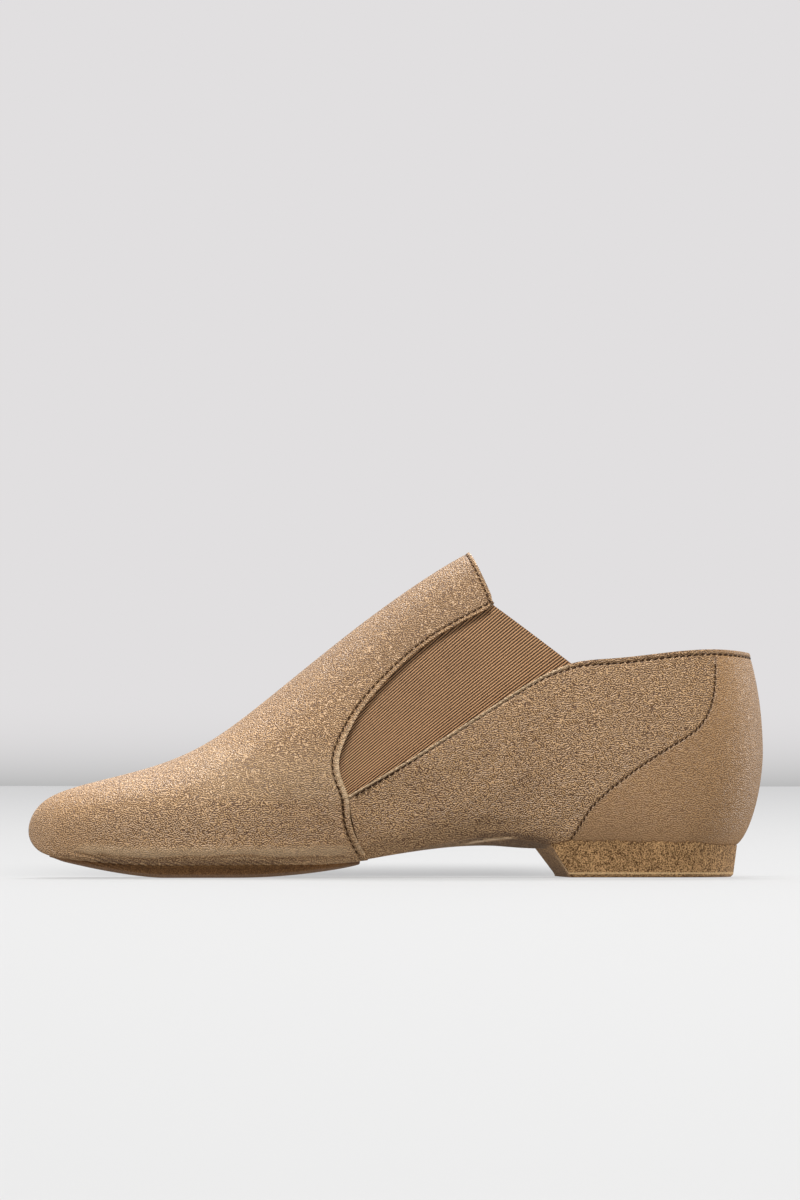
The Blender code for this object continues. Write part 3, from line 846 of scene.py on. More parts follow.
@dataclass
class LeatherUpper:
    """Vamp with its tongue, and the two quarters that are joined at the heel."""

    last: Last
    hem: Hem = Hem()
    wall: float = 1.4
    cut_round: float = 0.35                               # rounding of the leather's cut edges
    lap_step: float = 0.4
    lap_fade: float = 14.0
    under_rows: int = 8
    wall_rows: int = 38
    tongue_rows: int = 44
    toe_columns: int = 176
    tongue_columns: int = 70
    quarter_rows: int = 66
    quarter_columns: int = 136
    nose_z: float = 37.5                                  # where the gore reaches furthest forward
    waist_x: float = 82.0                                 # ridge above the nose, where the tongue starts
    tongue_corner: tuple[float, float] = (155.2, 91.2)
    tongue_top: tuple[float, float] = (148.4, 109.2)
    tongue_round: float = 3.0
    tongue_edges: tuple[float, float] = (78.0, 27.0)      # lengths of the edges beside its round corner
    gore_corner_z: float = 27.0
    pleats: tuple[float, float] = (13.0, 106.0)           # stretch of the sole's seam with pleats
    pleat_band: float = 2.4
    pleat_depth: float = 0.34
    pleat_pitch: float = 1.05
    pleat_slant: float = 0.36
    vamp: Panel = Panel("vamp", (
        Crease((82.0, 26.0), (104.0, 20.5), 0.6, 6.0),
        Crease((62.0, 40.0), (74.0, 46.0), 0.3, 3.0, 1.0),
        Crease((70.0, 32.0), (92.0, 43.0), 0.25, 5.0, 1.5),
        Crease((26.0, 8.8), (102.0, 9.2), -0.7, 3.2),
        Crease((11.5, 7.0), (22.0, 5.2), 0.4, 0.5, 0.3),
        Crease((14.5, 8.2), (27.0, 5.4), 0.3, 0.5, 0.4),
        Crease((22.0, 8.0), (29.0, 5.0), 0.35, 0.5, 0.6),
    ), True, (2.2, 1.3), (40.0, 45.0))
    quarter: Panel = Panel("quarters", (
        Crease((110.0, 19.0), (156.0, 38.0), 0.7, 7.5, 1.5),
        Crease((148.0, 24.0), (180.0, 26.0), 0.45, 6.0),
        Crease((126.0, 32.0), (174.0, 58.0), -0.4, 7.0),
        Crease((172.0, 14.0), (182.0, 22.0), 0.4, 3.0),
        Crease((203.0, 58.0), (222.0, 66.0), 0.3, 7.0),
        Crease((146.0, 16.5), (168.0, 17.0), 0.35, 2.6),
    ), False, (1.1, 1.7), (66.0, 6.0))
    # Line along the inner arch's lower edge, where a highlight is painted.
    arch_line: Crease = Crease((145.0, 11.0), (161.5, 13.3), 1.0, 0.36, 0.3)
    edge_x: SmoothCurve = field(init=False)
    topline: SmoothCurve = field(init=False)
    counter_x: SmoothCurve = field(init=False)

    def __post_init__(self) -> None:
        """Draws the edges' curves."""
        self.edge_x = SmoothCurve(*zip(*VAMP_EDGE))
        self.topline = SmoothCurve(*zip(*TOPLINE))
        self.counter_x = SmoothCurve(*zip(*COUNTER_LINE))

    def seam_rows(self, side: Side, top_z: float, rows: int, crowd: float) -> tuple[Array, Array]:
        """q and v along the vamp's back edge, from the underside's middle up.

        Args:
            side: Inner or outer side.
            top_z: Height of the last row.
            rows: Rows above the underside.
            crowd: How much closer the rows lie near the underside, 1 for even rows.

        Returns:
            q and v of the rows.
        """
        last = self.last
        top = last.height_place(self.edge_x(top_z), top_z, side)
        under = np.linspace(0, last.feather, self.under_rows + 1)[:-1]
        rise = np.linspace(0, 1, rows + 1) ** crowd
        v = np.concatenate([under, last.feather + (top - last.feather) * rise])
        q = np.full_like(v, VAMP_EDGE[0][1])
        for _ in range(12):
            q = self.edge_x(last.point(q, v, side)[..., 2])
        return q, v

    def under_places(self, q: Array, side: Side) -> Array:
        """v of the rows across the turned-in leather."""
        start = self.last.hole_place(q[:, :self.under_rows], side)
        return start + (self.last.feather - start) * np.arange(self.under_rows) / self.under_rows

    def tongue_rise(self) -> Array:
        """Shares of the rows between the gore's front edge and the ridge, closer near the edge."""
        return np.linspace(0, 1, self.tongue_rows + 1) ** 1.6

    def toe_block(self, side: Side) -> tuple[Array, Array]:
        """q and v of the vamp from the toe to the seam and to the tongue's start."""
        last = self.last
        low_q, low_v = self.seam_rows(side, self.nose_z, self.wall_rows, 1.5)
        rise = self.tongue_rise()[1:]
        edge_q = np.concatenate([low_q, low_q[-1] + rise * (self.waist_x - low_q[-1])])
        edge_v = np.concatenate([low_v, low_v[-1] + rise * (1 - low_v[-1])])[self.under_rows:]
        across = 1 - (1 - np.linspace(0, 1, self.toe_columns + 1)[:, None]) ** 1.2
        q = last.to_x(across * last.from_x(edge_q))
        spread = last.feather + (1 - last.feather) * np.linspace(0, 1, len(edge_v)) ** 1.3
        v = spread + (edge_v - spread) * smoothstep((across - 0.3) / 0.7)
        return q, np.concatenate([self.under_places(q, side), v], axis=1)

    def gore_front(self, side: Side, share: Array) -> tuple[Array, Array]:
        """q and v along the gore's front edge, from its nose at 0 to the tongue's corner at 1."""
        z = np.linspace(self.nose_z, self.tongue_corner[1], 400)
        x = self.edge_x(z)
        run = lengths(np.stack([x, z], axis=1))
        z = np.interp(share * run[-1], run, z)
        return self.edge_x(z), self.last.height_place(self.edge_x(z), z, side)

    def tongue_edge(self, side: Side, v: Array) -> Array:
        """q along the tongue's top edge, which is straight seen from the side."""
        (corner_x, corner_z), (top_x, top_z) = self.tongue_corner, self.tongue_top
        q = np.full_like(v, top_x)
        for _ in range(12):
            q = np.interp(self.last.point(q, v, side)[..., 2], (corner_z, top_z), (corner_x, top_x))
        return q

    def tongue_block(self, side: Side) -> tuple[Array, Array]:
        """q and v of the tongue, from the gore's front edge to the ridge, with a round corner."""
        share = 1 - (1 - np.linspace(0, 1, self.tongue_columns + 1)) ** 1.25
        share, rise = np.meshgrid(share, self.tongue_rise(), indexing="ij")
        front, top = (edge / self.tongue_round for edge in self.tongue_edges)
        near_top = np.clip(1 - (1 - share) * front, 0, 1)
        near_gore = np.clip(1 - rise * top, 0, 1)
        share = share - near_top * (1 - np.sqrt(1 - near_gore**2 / 2)) / front
        rise = rise + near_gore * (1 - np.sqrt(1 - near_top**2 / 2)) / top
        edge_q, edge_v = self.gore_front(side, share)
        ridge_q = self.waist_x + (self.tongue_top[0] - self.waist_x) * share
        q = edge_q + (ridge_q - edge_q) * rise
        v = edge_v + (1 - edge_v) * rise
        corner_v = self.last.height_place(*np.array(self.tongue_corner), side)
        end_v = corner_v + (1 - corner_v) * rise
        end_q = self.tongue_corner[0] + (self.tongue_top[0] - self.tongue_corner[0]) * rise
        return q + share**2 * (self.tongue_edge(side, end_v) - end_q), v

    def quarter_block(self, side: Side) -> tuple[Array, Array, Array]:
        """q, v and depth of a quarter, from the seam to the heel's back."""
        last = self.last
        seam_q, _ = self.seam_rows(side, self.gore_corner_z, self.quarter_rows, 1.0)
        across = np.linspace(0, 1, self.quarter_columns + 1)[:, None]
        first = seam_q + 0.05
        q = first + across * (last.back_q - first)
        even = np.linspace(0, 1, self.quarter_rows + 1)
        rise = 0.35 * even + 0.65 * (0.5 - 0.5 * np.cos(math.pi * even))
        top = last.topline_place(q[:, self.under_rows:], side, self.topline)
        v = np.concatenate([self.under_places(q, side), last.feather + (top - last.feather) * rise], axis=1)
        off_sole = smoothstep((v - last.feather) / 0.03)
        return q, v, self.lap_step * off_sole * (1 - smoothstep((q - first) / self.lap_fade))

    def above_sole(self, x: Array, z: Array, side: Side) -> Array:
        """Height over the underside's edge."""
        return z - self.last.section_at(np.clip(x, 0, self.last.heel_x), side)["edge"]

    def gathers(self, x: Array, z: Array, side: Side) -> Array:
        """The fine slanted pleats where the vamp is gathered into the sole, 1 in their folds."""
        start, end = self.pleats
        band = smoothstep((self.pleat_band + 0.7 - self.above_sole(x, z, side)) / 1.4)
        sway = 1.1 * np.sin(0.19 * x) + 0.6 * np.sin(0.43 * x + 1.0)
        wave = 0.5 - 0.5 * np.sin(TURN * (z + self.pleat_slant * x) / self.pleat_pitch + sway)
        fade = 0.35 + 0.65 * smoothstep((98 - x) / 26)
        return span(x, start, 8, end, 10) * band * wave**1.5 * fade

    def gather_line(self, x: Array, z: Array, side: Side) -> Array:
        """The crease along the top of the pleats, 1 in its middle."""
        start, end = self.pleats
        top = self.pleat_band + 0.35 * np.sin(0.11 * x + 0.6) + 0.2 * np.sin(0.29 * x)
        return span(x, start, 40, end, 6) * bell(self.above_sole(x, z, side), top, 0.35)

    def pleating(self, x: Array, z: Array, v: Array, side: Side) -> Array:
        """Depth of the pleats and their crease, on a slight swell."""
        on_wall = smoothstep((v - self.last.feather + 0.01) / 0.02)
        swell = 0.5 * bell(self.above_sole(x, z, side), 0.3 * self.pleat_band, 1.2) * smoothstep((x - 6) / 14)
        folds = self.pleat_depth * self.gathers(x, z, side) + 0.3 * self.gather_line(x, z, side)
        return on_wall * (folds - swell)

    def relief(self, q: Array, v: Array, side: Side, panel: Panel) -> Array:
        """Depth of a panel's creases, pleats and hem under the last's surface."""
        place = self.last.point(q, v, side)
        x, z = place[..., 0], place[..., 2]
        on_side = smoothstep((v - self.last.feather) / 0.04)
        depth = sum(crease.drop(x, z) for crease in panel.creases) * on_side
        if panel.pleated:
            depth = depth + self.pleating(x, z, v, side)
        away, run = nearest(self.sewn_edge(panel, side), place.reshape(-1, 3))
        hem = self.hem.drop(away, run, panel.inset(place.reshape(-1, 3)[:, 2]))
        return depth + hem.reshape(x.shape) * on_side * (q < self.last.back_q - 0.01)

    def thicken(self, piece: bpy.types.Object, finishes: Sequence[bpy.types.Material]) -> None:
        """Gives a leather sheet its wall, its lining and rounded cut edges."""
        for material in finishes:
            piece.data.materials.append(material)
        finish_modifier(
            piece, "SOLIDIFY", thickness=self.wall * MM, offset=-1.0, use_quality_normals=True,
            material_offset=Zone.LINING.value, material_offset_rim=Zone.OUTSIDE.value,
        )
        finish_modifier(
            piece, "BEVEL", width=self.cut_round * MM, segments=2, limit_method="ANGLE",
            angle_limit=math.radians(60), use_clamp_overlap=True,
        )
        shade(piece, 50)

    def sewn_edge(self, panel: Panel, side: Side, step: float = 0.25) -> Array:
        """Points close together along a panel's sewn edge: the vamp's back edge or the topline."""
        last = self.last
        if panel.pleated:
            z = np.arange(VAMP_EDGE[0][0], self.tongue_corner[1], step)
            low = last.point(self.edge_x(z), last.height_place(self.edge_x(z), z, side), side)
            v = np.linspace(last.height_place(*np.array(self.tongue_corner), side), 1.0, 110)
            line = np.concatenate([low, last.point(self.tongue_edge(side, v), v, side)])
        else:
            q = np.linspace(TOPLINE[0][0], last.back_q, 900)
            line = last.point(q, last.topline_place(q, side, self.topline), side)
        window = np.hanning(13)[1:-1]
        ends = np.pad(line, ((5, 5), (0, 0)), mode="edge")
        smooth = [np.convolve(ends[:, k], window / window.sum(), mode="valid") for k in range(3)]
        return np.stack(smooth, axis=1)

    def counter_points(self, side: Side, count: int = 400) -> tuple[Array, Array]:
        """Points close together along the counter's line on one side, and outward normals."""
        z = np.linspace(COUNTER_LINE[0][0], COUNTER_LINE[-1][0], count)
        q, v = self.last.locate(self.counter_x(z), z, side)
        return self.last.point(q, v, side), self.last.normal(q, v, side)

    def measure(self, piece: bpy.types.Object, panel: Panel) -> None:
        """Keeps the distances to the sewn lines, the grain, and the painted light and shade with the collar's
        darker band, for the leather's finish.
        """
        places = vertex_places(piece)
        x, z = places[:, 0], places[:, 2]
        hems = [nearest(self.sewn_edge(panel, side), places) for side in Side]
        pick = np.argmin([hem[0] for hem in hems], axis=0)
        hem, run = (np.choose(pick, [found[k] for found in hems]) for k in range(2))
        stitch = hem - panel.inset(z)
        behind = x - self.counter_x(z)
        if not panel.pleated:
            away = np.min([nearest(self.counter_points(side)[0], places)[0] for side in Side], axis=0)
            stitch = np.where(away < np.abs(stitch), away * np.sign(behind), stitch)
        toe = 0.78 + 0.22 * smoothstep((x - 4) / 42)
        low = 0.75 + 0.25 * smoothstep((z - 7) / 15)
        counter = 1 - 0.48 * smoothstep(behind / 5 + 0.5) * smoothstep((x - 165) / 10)
        paint(piece, "hem", hem)
        paint(piece, "hem_run", run)
        paint(piece, "stitch_line", stitch)
        paint(piece, "grain", toe * low * counter)
        paint(piece, "tint", self.tint(places, hem, panel))

    def tint(self, places: Array, hem: Array, panel: Panel) -> Array:
        """Painted light and shade: how far the leather is painted lighter as a highlight, or darker as shade
        where it is negative, with the collar's darker band.

        Args:
            places: Places on the panel.
            hem: Their distances to its sewn edge.
            panel: The vamp or the quarter.

        Returns:
            The painted light and shade of each place.
        """
        x, z, inner = places[:, 0], places[:, 2], places[:, 1] < 0
        edge = self.last.section_at(np.clip(x, 0, self.last.heel_x), Side.MEDIAL)["edge"]
        collar = smoothstep((x - 176) / 8)
        # Painted highlight on the folded hem, left off the collar.
        fold = bell(hem, 0.5, 0.6) * (1 - collar * (not panel.pleated))
        # Painted highlight along the inner arch's lower edge.
        arch = self.arch_line.drop(x, z) * inner
        # Painted shade in the toe's narrow creases.
        crease_shade = sum(crease.drop(x, z) for crease in panel.creases if crease.width < 1)
        # Painted shade low on the wall, just above the sole.
        low_wall_shade = smoothstep((edge + 2.6 - z) / 1.8) * span(x, 12, 14, 176, 6)
        # Painted shade where the arch meets the heel.
        waist_shade = bell(x, 168, 9) * bell(z, 13.5, 3.2)
        tint = (0.55 if panel.pleated else 1.0) * fold + 2.6 * arch - 1.6 * crease_shade
        tint = tint - 0.3 * collar * smoothstep((1.6 - hem) / 0.4) - 0.35 * waist_shade
        # On the quarters the painted shade low on the wall deepens towards the heel and stops at the arch's
        # highlight.
        if not panel.pleated:
            return tint - (0.2 + 0.5 * smoothstep((x - 140) / 14)) * low_wall_shade * (1 - np.minimum(arch, 1))
        # On the vamp: painted shade in the pleats' folds and along their crease.
        folds, line = (
            np.where(inner, shape(x, z, Side.MEDIAL), shape(x, z, Side.LATERAL))
            for shape in (self.gathers, self.gather_line)
        )
        # Painted light in a band just above the sole.
        sill_light = smoothstep((edge + 8.0 - z) / 4.0) * span(x, 8, 14, 112, 12)
        # Painted highlight across the middle of the vamp.
        middle = span(z, 21, 8, 50, 14) * smoothstep((x - 40) / 25)
        tint = tint + 0.8 * sill_light - low_wall_shade * (0.35 + 1.9 * folds) - 1.2 * line
        # Painted shade growing towards the tongue's top, and a band of painted shade low on the vamp.
        return tint - 0.36 * smoothstep((z - 46) / 30) + 0.42 * middle - 0.2 * span(z, 9, 4, 25, 8)

    def make_panel(
        self, panel: Panel, sheets: Sequence[bpy.types.Object], finishes: Sequence[bpy.types.Material]
    ) -> bpy.types.Object:
        """Joins a panel's sheets to one piece of lined leather."""
        piece = join(panel.name, sheets)
        self.thicken(piece, finishes)
        self.measure(piece, panel)
        return add_piece(piece, "upper_leather", "upper")

    def build_vamp(self, finishes: Sequence[bpy.types.Material]) -> bpy.types.Object:
        """Models the vamp with its tongue."""
        sheets = []
        for side in Side:
            for q, v in (self.toe_block(side), self.tongue_block(side)):
                points = self.last.offset(q, v, side, self.relief(q, v, side, self.vamp))
                sheets.append(make_grid("vamp_sheet", points, self.last.normal(q, v, side)))
        return self.make_panel(self.vamp, sheets, finishes)

    def build_quarters(self, finishes: Sequence[bpy.types.Material]) -> bpy.types.Object:
        """Models both quarters in one piece."""
        sheets = []
        for side in Side:
            q, v, lap = self.quarter_block(side)
            depth = (lap + self.relief(q, v, side, self.quarter)) * (q < self.last.back_q - 0.01)
            points = self.last.offset(q, v, side, depth)
            sheets.append(make_grid("quarter_sheet", points, self.last.normal(q, v, side)))
        return self.make_panel(self.quarter, sheets, finishes)


@dataclass
class ElasticGore:
    """Ribbed panel behind the opening between the vamp and a quarter."""

    upper: LeatherUpper
    wall: float = 1.1
    gap: float = 0.35
    lap: float = 5.0
    fan_centre: tuple[float, float] = (-190.0, -205.0)    # far point that the ribs spread from
    rib_pitch: float = 0.85
    rib_height: float = 0.16
    samples: int = 6
    rows: int = 40
    front_corner: tuple[float, float] = (115.3, 66.5)     # on the vamp's edge, past the highest rib
    collar_corner: tuple[float, float] = (180.5, 71.4)
    centre: tuple[float, float] = (140.0, 60.0)           # where the ribs have their pitch
    longest_rib: float = 110.0

    def build(self, side: Side, finish: bpy.types.Material) -> bpy.types.Object:
        """Models the gore of one side."""
        last, upper = self.upper.last, self.upper
        cx, cz = self.fan_centre
        (tx, tz), (kx, kz), (fx, fz) = upper.tongue_corner, self.collar_corner, self.front_corner
        low = math.atan2(kz - self.lap - 1.0 - cz, kx + self.lap - cx)
        high = math.atan2(fz + self.lap - cz, fx - self.lap - cx)
        reach = math.dist(self.centre, self.fan_centre)
        ribs = math.ceil((high - low) * reach / self.rib_pitch)
        angle = np.linspace(low, high, ribs * self.samples + 1)
        rise, run = np.sin(angle), np.cos(angle)
        sag = (tz - kz, kx - tx)
        end = ((tx - cx) * sag[0] + (tz - cz) * sag[1]) / (run * sag[0] + rise * sag[1])
        start = np.array([self.first_inside(r, s, e) for r, s, e in zip(run, rise, end)])
        share = np.linspace(0, 1, self.rows + 1)
        length = start[:, None] + (end - start)[:, None] * share
        x, z = cx + run[:, None] * length, cz + rise[:, None] * length
        v = last.height_place(x, z, side)
        rib = np.linspace(0, ribs, len(angle))[:, None] + np.zeros_like(x)
        wave = 0.5 + 0.5 * np.sin(TURN * rib)
        above = smoothstep((z - upper.gore_corner_z) / upper.lap_fade)
        behind = smoothstep((x - VAMP_EDGE[0][1]) / upper.lap_fade)
        front = upper.wall + self.gap + upper.lap_step * (1 - above) * (1 - behind)
        depth = front + self.rib_height * (1 - wave)
        back = last.offset(x, v, side, front + self.wall + self.rib_height * wave)
        name = f"gore_{side.name.lower()}"
        piece = make_grid(f"{name}_cloth", last.offset(x, v, side, depth), last.normal(x, v, side))
        paint(piece, "rib", rib.ravel(order="F"))
        paint(piece, "rib_run", length.ravel(order="F"))
        piece.data.materials.append(finish)
        finish_modifier(piece, "SOLIDIFY", thickness=self.wall * MM, offset=-1.0, use_quality_normals=True)
        # The back gets its own ribs, because a plain copy of the front would cross itself
        places = vertex_places(piece)
        places[back.shape[0] * back.shape[1]:] = back.transpose(1, 0, 2).reshape(-1, 3)
        place_vertices(piece, places)
        shade(piece, 60)
        return add_piece(piece, "gore_elastic", name)

    def first_inside(self, run: float, rise: float, end: float) -> float:
        """Length along a rib where it comes out from behind the sewn margin."""
        length = np.arange(end - self.longest_rib, end, 0.25)
        x, z = self.fan_centre[0] + run * length, self.fan_centre[1] + rise * length
        behind_vamp = x >= self.upper.edge_x(z) - self.lap
        behind_quarter = z >= self.upper.topline(x) - self.lap
        inside = np.flatnonzero(behind_vamp & behind_quarter)
        return float(length[inside[0]]) if len(inside) else end - 2.0


@dataclass
class StitchRow:
    """Even stitches of thread along a sewn line."""

    pitch: float = 2.3
    length: float = 1.85
    width: float = 0.56
    height: float = 0.42
    slant: float = 9.0      # degrees that each stitch is turned off the line
    dip: float = 0.55       # share of its height that its ends sink

    def one_stitch(self) -> tuple[Array, list[list[int]]]:
        """Shapes one stitch: a bar with tapered ends that dip into the leather.

        Returns:
            Its points along x, in millimetres, and its faces.
        """
        deselect()
        bpy.ops.mesh.primitive_cylinder_add(vertices=6, radius=0.5, depth=1.0, rotation=(0, QUARTER_TURN, 0))
        model = bpy.context.object
        bpy.ops.object.transform_apply(location=True, rotation=True, scale=True)
        bpy.ops.object.mode_set(mode="EDIT")
        bpy.ops.mesh.select_all(action="DESELECT")
        bpy.ops.object.mode_set(mode="OBJECT")
        for face in model.data.polygons:
            face.select = abs(face.normal.x) > 0.9
        bpy.ops.object.mode_set(mode="EDIT")
        bpy.ops.mesh.select_mode(type="FACE")
        bpy.ops.mesh.bevel(offset=0.2, segments=2, affect="EDGES")
        bpy.ops.object.mode_set(mode="OBJECT")
        points = np.array([vertex.co for vertex in model.data.vertices])
        faces = [list(face.vertices) for face in model.data.polygons]
        bpy.data.objects.remove(model)
        points = points * (self.length, self.width, self.height)
        points[:, 2] -= self.dip * self.height * (np.abs(points[:, 0]) / (0.5 * self.length)) ** 4
        turn = math.radians(self.slant)
        turned = points @ np.array([
            [math.cos(turn), math.sin(turn), 0.0], [-math.sin(turn), math.cos(turn), 0.0], [0.0, 0.0, 1.0],
        ])
        return turned, faces

    def build(
        self, name: str, lines: Sequence[tuple[Array, Array]], finish: bpy.types.Material
    ) -> bpy.types.Object:
        """Sews stitches along lines.

        Args:
            name: Name of the piece.
            lines: Points and outward normals along each line.
            finish: The thread's material.

        Returns:
            One piece with all the stitches.
        """
        points, faces = self.one_stitch()
        placed, joined = [], []
        for line, normals in lines:
            run = lengths(line)
            middles = np.arange(self.pitch * 0.6, run[-1] - self.pitch * 0.4, self.pitch)
            centres, ahead, behind, ups = (
                np.stack([np.interp(middles + step, run, values[:, k]) for k in range(3)], axis=1)
                for step, values in ((0.0, line), (0.8, line), (-0.8, line), (0.0, normals))
            )
            for centre, along, up in zip(centres, ahead - behind, ups):
                along = along / np.linalg.norm(along)
                up = up - along * np.dot(up, along)
                up /= np.linalg.norm(up)
                joined += [[number + len(placed) * len(points) for number in face] for face in faces]
                placed.append(centre + points @ np.stack([along, np.cross(up, along), up]))
        mesh = bpy.data.meshes.new(name)
        mesh.from_pydata(((np.concatenate(placed) - MIDDLE) * MM).tolist(), [], joined)
        piece = bpy.data.objects.new(name, mesh)
        bpy.context.scene.collection.objects.link(piece)
        mesh.materials.append(finish)
        shade(piece, 80)
        return add_piece(piece, "upper_leather")


@dataclass
class Stitching:
    """All the sewn lines of the upper."""

    upper: LeatherUpper
    row: StitchRow = field(default_factory=StitchRow)
    fine_row: StitchRow = field(default_factory=lambda: StitchRow(2.0, 1.8, 0.42, 0.36, 14.0))
    sink: float = 0.12      # how far the thread lies under the smooth leather

    def hem_line(self, panel: Panel, side: Side) -> tuple[Array, Array]:
        """Line of stitches inside a panel's sewn edge.

        Args:
            panel: The vamp or the quarter.
            side: Inner or outer side.

        Returns:
            Points in the stitches' groove, and outward normals.
        """
        last = self.upper.last
        edge = self.upper.sewn_edge(panel, side)[8:-6:2]
        q, v = last.locate(edge[:, 0], edge[:, 2], side)
        tangent = np.gradient(edge, axis=0)
        tangent /= np.linalg.norm(tangent, axis=1, keepdims=True)
        inward = np.cross(last.normal(q, v, side), tangent)
        wanted = np.array([-1.0, 0.0, 0.3]) if panel.pleated else np.array([0.0, 0.0, -1.0])
        inward *= np.sign(inward @ wanted)[:, None]
        moved = edge + inward * panel.inset(edge[:, 2])[:, None]
        q, v = last.locate(moved[:, 0], moved[:, 2], side)
        normal = last.normal(q, v, side)
        return moved - self.sink * normal, normal

    def build(self, finish: bpy.types.Material) -> None:
        """Sews the vamp's edge, the collar and the counter."""
        upper = self.upper
        self.row.build("vamp_stitches", [self.hem_line(upper.vamp, side) for side in Side], finish)
        self.row.build("collar_stitches", [self.hem_line(upper.quarter, side) for side in Side], finish)
        self.fine_row.build("counter_stitches", [upper.counter_points(side) for side in Side], finish)


@dataclass
class SoleUnit:
    """Forefoot sole, heel block and insole."""

    last: Last
    upper: LeatherUpper
    gap: float = 0.3
    sole_ends: tuple[float, float] = (7.0, 111.0)
    sole_flat: tuple[float, float] = (44.0, 68.0)
    sole_toe_rise: float = 6.4
    sole_back_rise: float = 4.4
    sole_edge_rise: float = 1.0
    sole_edge_start: float = 0.75
    sole_share: float = 0.985
    sole_swell: float = 0.9          # how far the sole's side stands out under the leather
    breast_top: float = 173.4
    breast_slant: float = 6.6
    heel_taper: float = 0.97
    heel_chamfer: float = 0.8
    heel_seat: float = 0.35           # how far the heel's top is pressed into the leather
    lip: float = 1.1                  # how far the suede reaches up the leather, on average
    lip_stand: float = 0.22           # how far it stands off the leather
    lip_rag: float = 0.2              # how uneven its edge is
    insole_front: float = 9.0
    insole_share: float = 0.93
    insole_wall: float = 2.0
    toe_fade: float = 45.0
    sole_back_round: float = 12.0     # length of the sole's rounded back
    sole_back_power: float = 2.6
    heel_height: float = 10.0
    heel_foot_inset: float = 0.035    # share of the heel's width that its chamfer takes
    heel_line: float = 1.36           # height of the pale line round the heel's foot
    insole_grid: tuple[int, int] = (90, 17)
    sole_grid: tuple[int, int] = (241, 25)
    heel_grid: tuple[int, int] = (217, 21)

    def toe_share(self, places: Array, front: float, side: Side) -> Array:
        """Share of the underside's width for a piece that starts behind the toe tip."""
        inset = front * (1 - smoothstep((places - front) / self.toe_fade))
        half = self.last.section_at(places, side)["half"]
        return self.last.section_at(places - inset, side)["half"] / half

    def build_insole(self, finish: bpy.types.Material) -> bpy.types.Object:
        """Models the sock that lies on the turned-in leather."""
        last, sheets = self.last, []
        reach = last.from_x(last.back_q - self.insole_front)
        columns, rows = self.insole_grid
        places = self.insole_front + last.to_x(np.linspace(0, reach, columns))
        for side in Side:
            shares = self.insole_share * self.toe_share(places, self.insole_front, side)
            v = last.feather * shares[:, None] * np.linspace(0, 1, rows)
            q = np.repeat(places[:, None], rows, axis=1)
            depth = np.full_like(q, self.upper.wall + self.gap + self.insole_wall)
            sheets.append(make_grid("sock", last.offset(q, v, side, depth), -last.normal(q, v, side)))
        insole = join("insole_sock", sheets)
        insole.data.materials.append(finish)
        finish_modifier(insole, "SOLIDIFY", thickness=self.insole_wall * MM, offset=-1.0)
        finish_modifier(
            insole, "BEVEL", width=0.4 * MM, segments=2, limit_method="ANGLE", angle_limit=math.radians(55)
        )
        shade(insole, 50)
        return add_piece(insole, "insole_lining", "insole")

    def sole_underside(self, x: Array) -> Array:
        """Height of the sole's lower face."""
        front = np.clip((self.sole_flat[0] - x) / (self.sole_flat[0] - self.sole_ends[0]), 0, 1)
        back = np.clip((x - self.sole_flat[1]) / (self.sole_ends[1] - self.sole_flat[1]), 0, 1)
        return self.sole_toe_rise * front**1.5 + self.sole_back_rise * back**2

    def sole_pleats(self, x: Array, z: Array, side: Side) -> Array:
        """The leather's pleats where they run on down the sole's side, 1 in their folds."""
        return self.upper.gathers(x, z, side) * smoothstep((z - 1.9) / 1.4)

    def build_sole(self, finish: bpy.types.Material) -> bpy.types.Object:
        """Models the sole under the ball of the foot."""
        last, sheets = self.last, []
        first, end = self.sole_ends
        columns, rows = self.sole_grid
        turn = np.linspace(0, math.pi, columns)
        places = (first + end) / 2 - (end - first) / 2 * np.cos(turn)
        late = np.clip(1 - (end - places) / self.sole_back_round, 0, 1)
        round_back = np.clip(1 - late**self.sole_back_power, 0, 1) ** (1 / self.sole_back_power)
        out = np.linspace(0, 1, rows) ** 0.8
        full = np.sin(turn)[:, None, None] ** 0.5
        taper = 0.2 + 0.8 * smoothstep((places - first) / 5)[:, None]
        for side in Side:
            shares = self.sole_share * self.toe_share(places, first, side) * round_back
            q = np.repeat(places[:, None], len(out), axis=1)
            top = last.point(q, last.feather * shares[:, None] * out, side)
            top[..., 2] -= self.gap
            thick = (top[..., 2] - self.sole_underside(top[..., 0])) * taper
            floor = top[..., 2] - thick
            rise = np.minimum(self.sole_edge_rise, 0.4 * thick)
            edge = np.clip((out - self.sole_edge_start) / (1 - self.sole_edge_start), 0, 1)
            under = top.copy()
            under[..., 2] = floor + rise * edge**2
            bend = np.linspace(0, math.pi, 15)[None, 1:-1, None]
            upright = (1 - np.cos(bend)) / 2
            side_wall = under[:, -1:] + (top[:, -1:] + (0, 0, self.gap + 0.6) - under[:, -1:]) * upright
            side_wall = side_wall + (0, side.value * self.sole_swell, 0) * np.sin(bend) ** 0.7 * full
            folds = self.sole_pleats(side_wall[..., 0], side_wall[..., 2], side)
            side_wall[..., 1] -= side.value * self.upper.pleat_depth * folds
            loop = np.concatenate([under, side_wall, top[:, ::-1]], axis=1)
            way = loop - np.mean(loop, axis=1, keepdims=True)
            sheets.append(make_grid("sole_half", loop, way))
        sole = join("forefoot_pad", sheets)
        sole.data.materials.append(finish)
        x, y, z = vertex_places(sole).T
        folds = np.where(y < 0, self.sole_pleats(x, z, Side.MEDIAL), self.sole_pleats(x, z, Side.LATERAL))
        above = z - self.sole_underside(x)
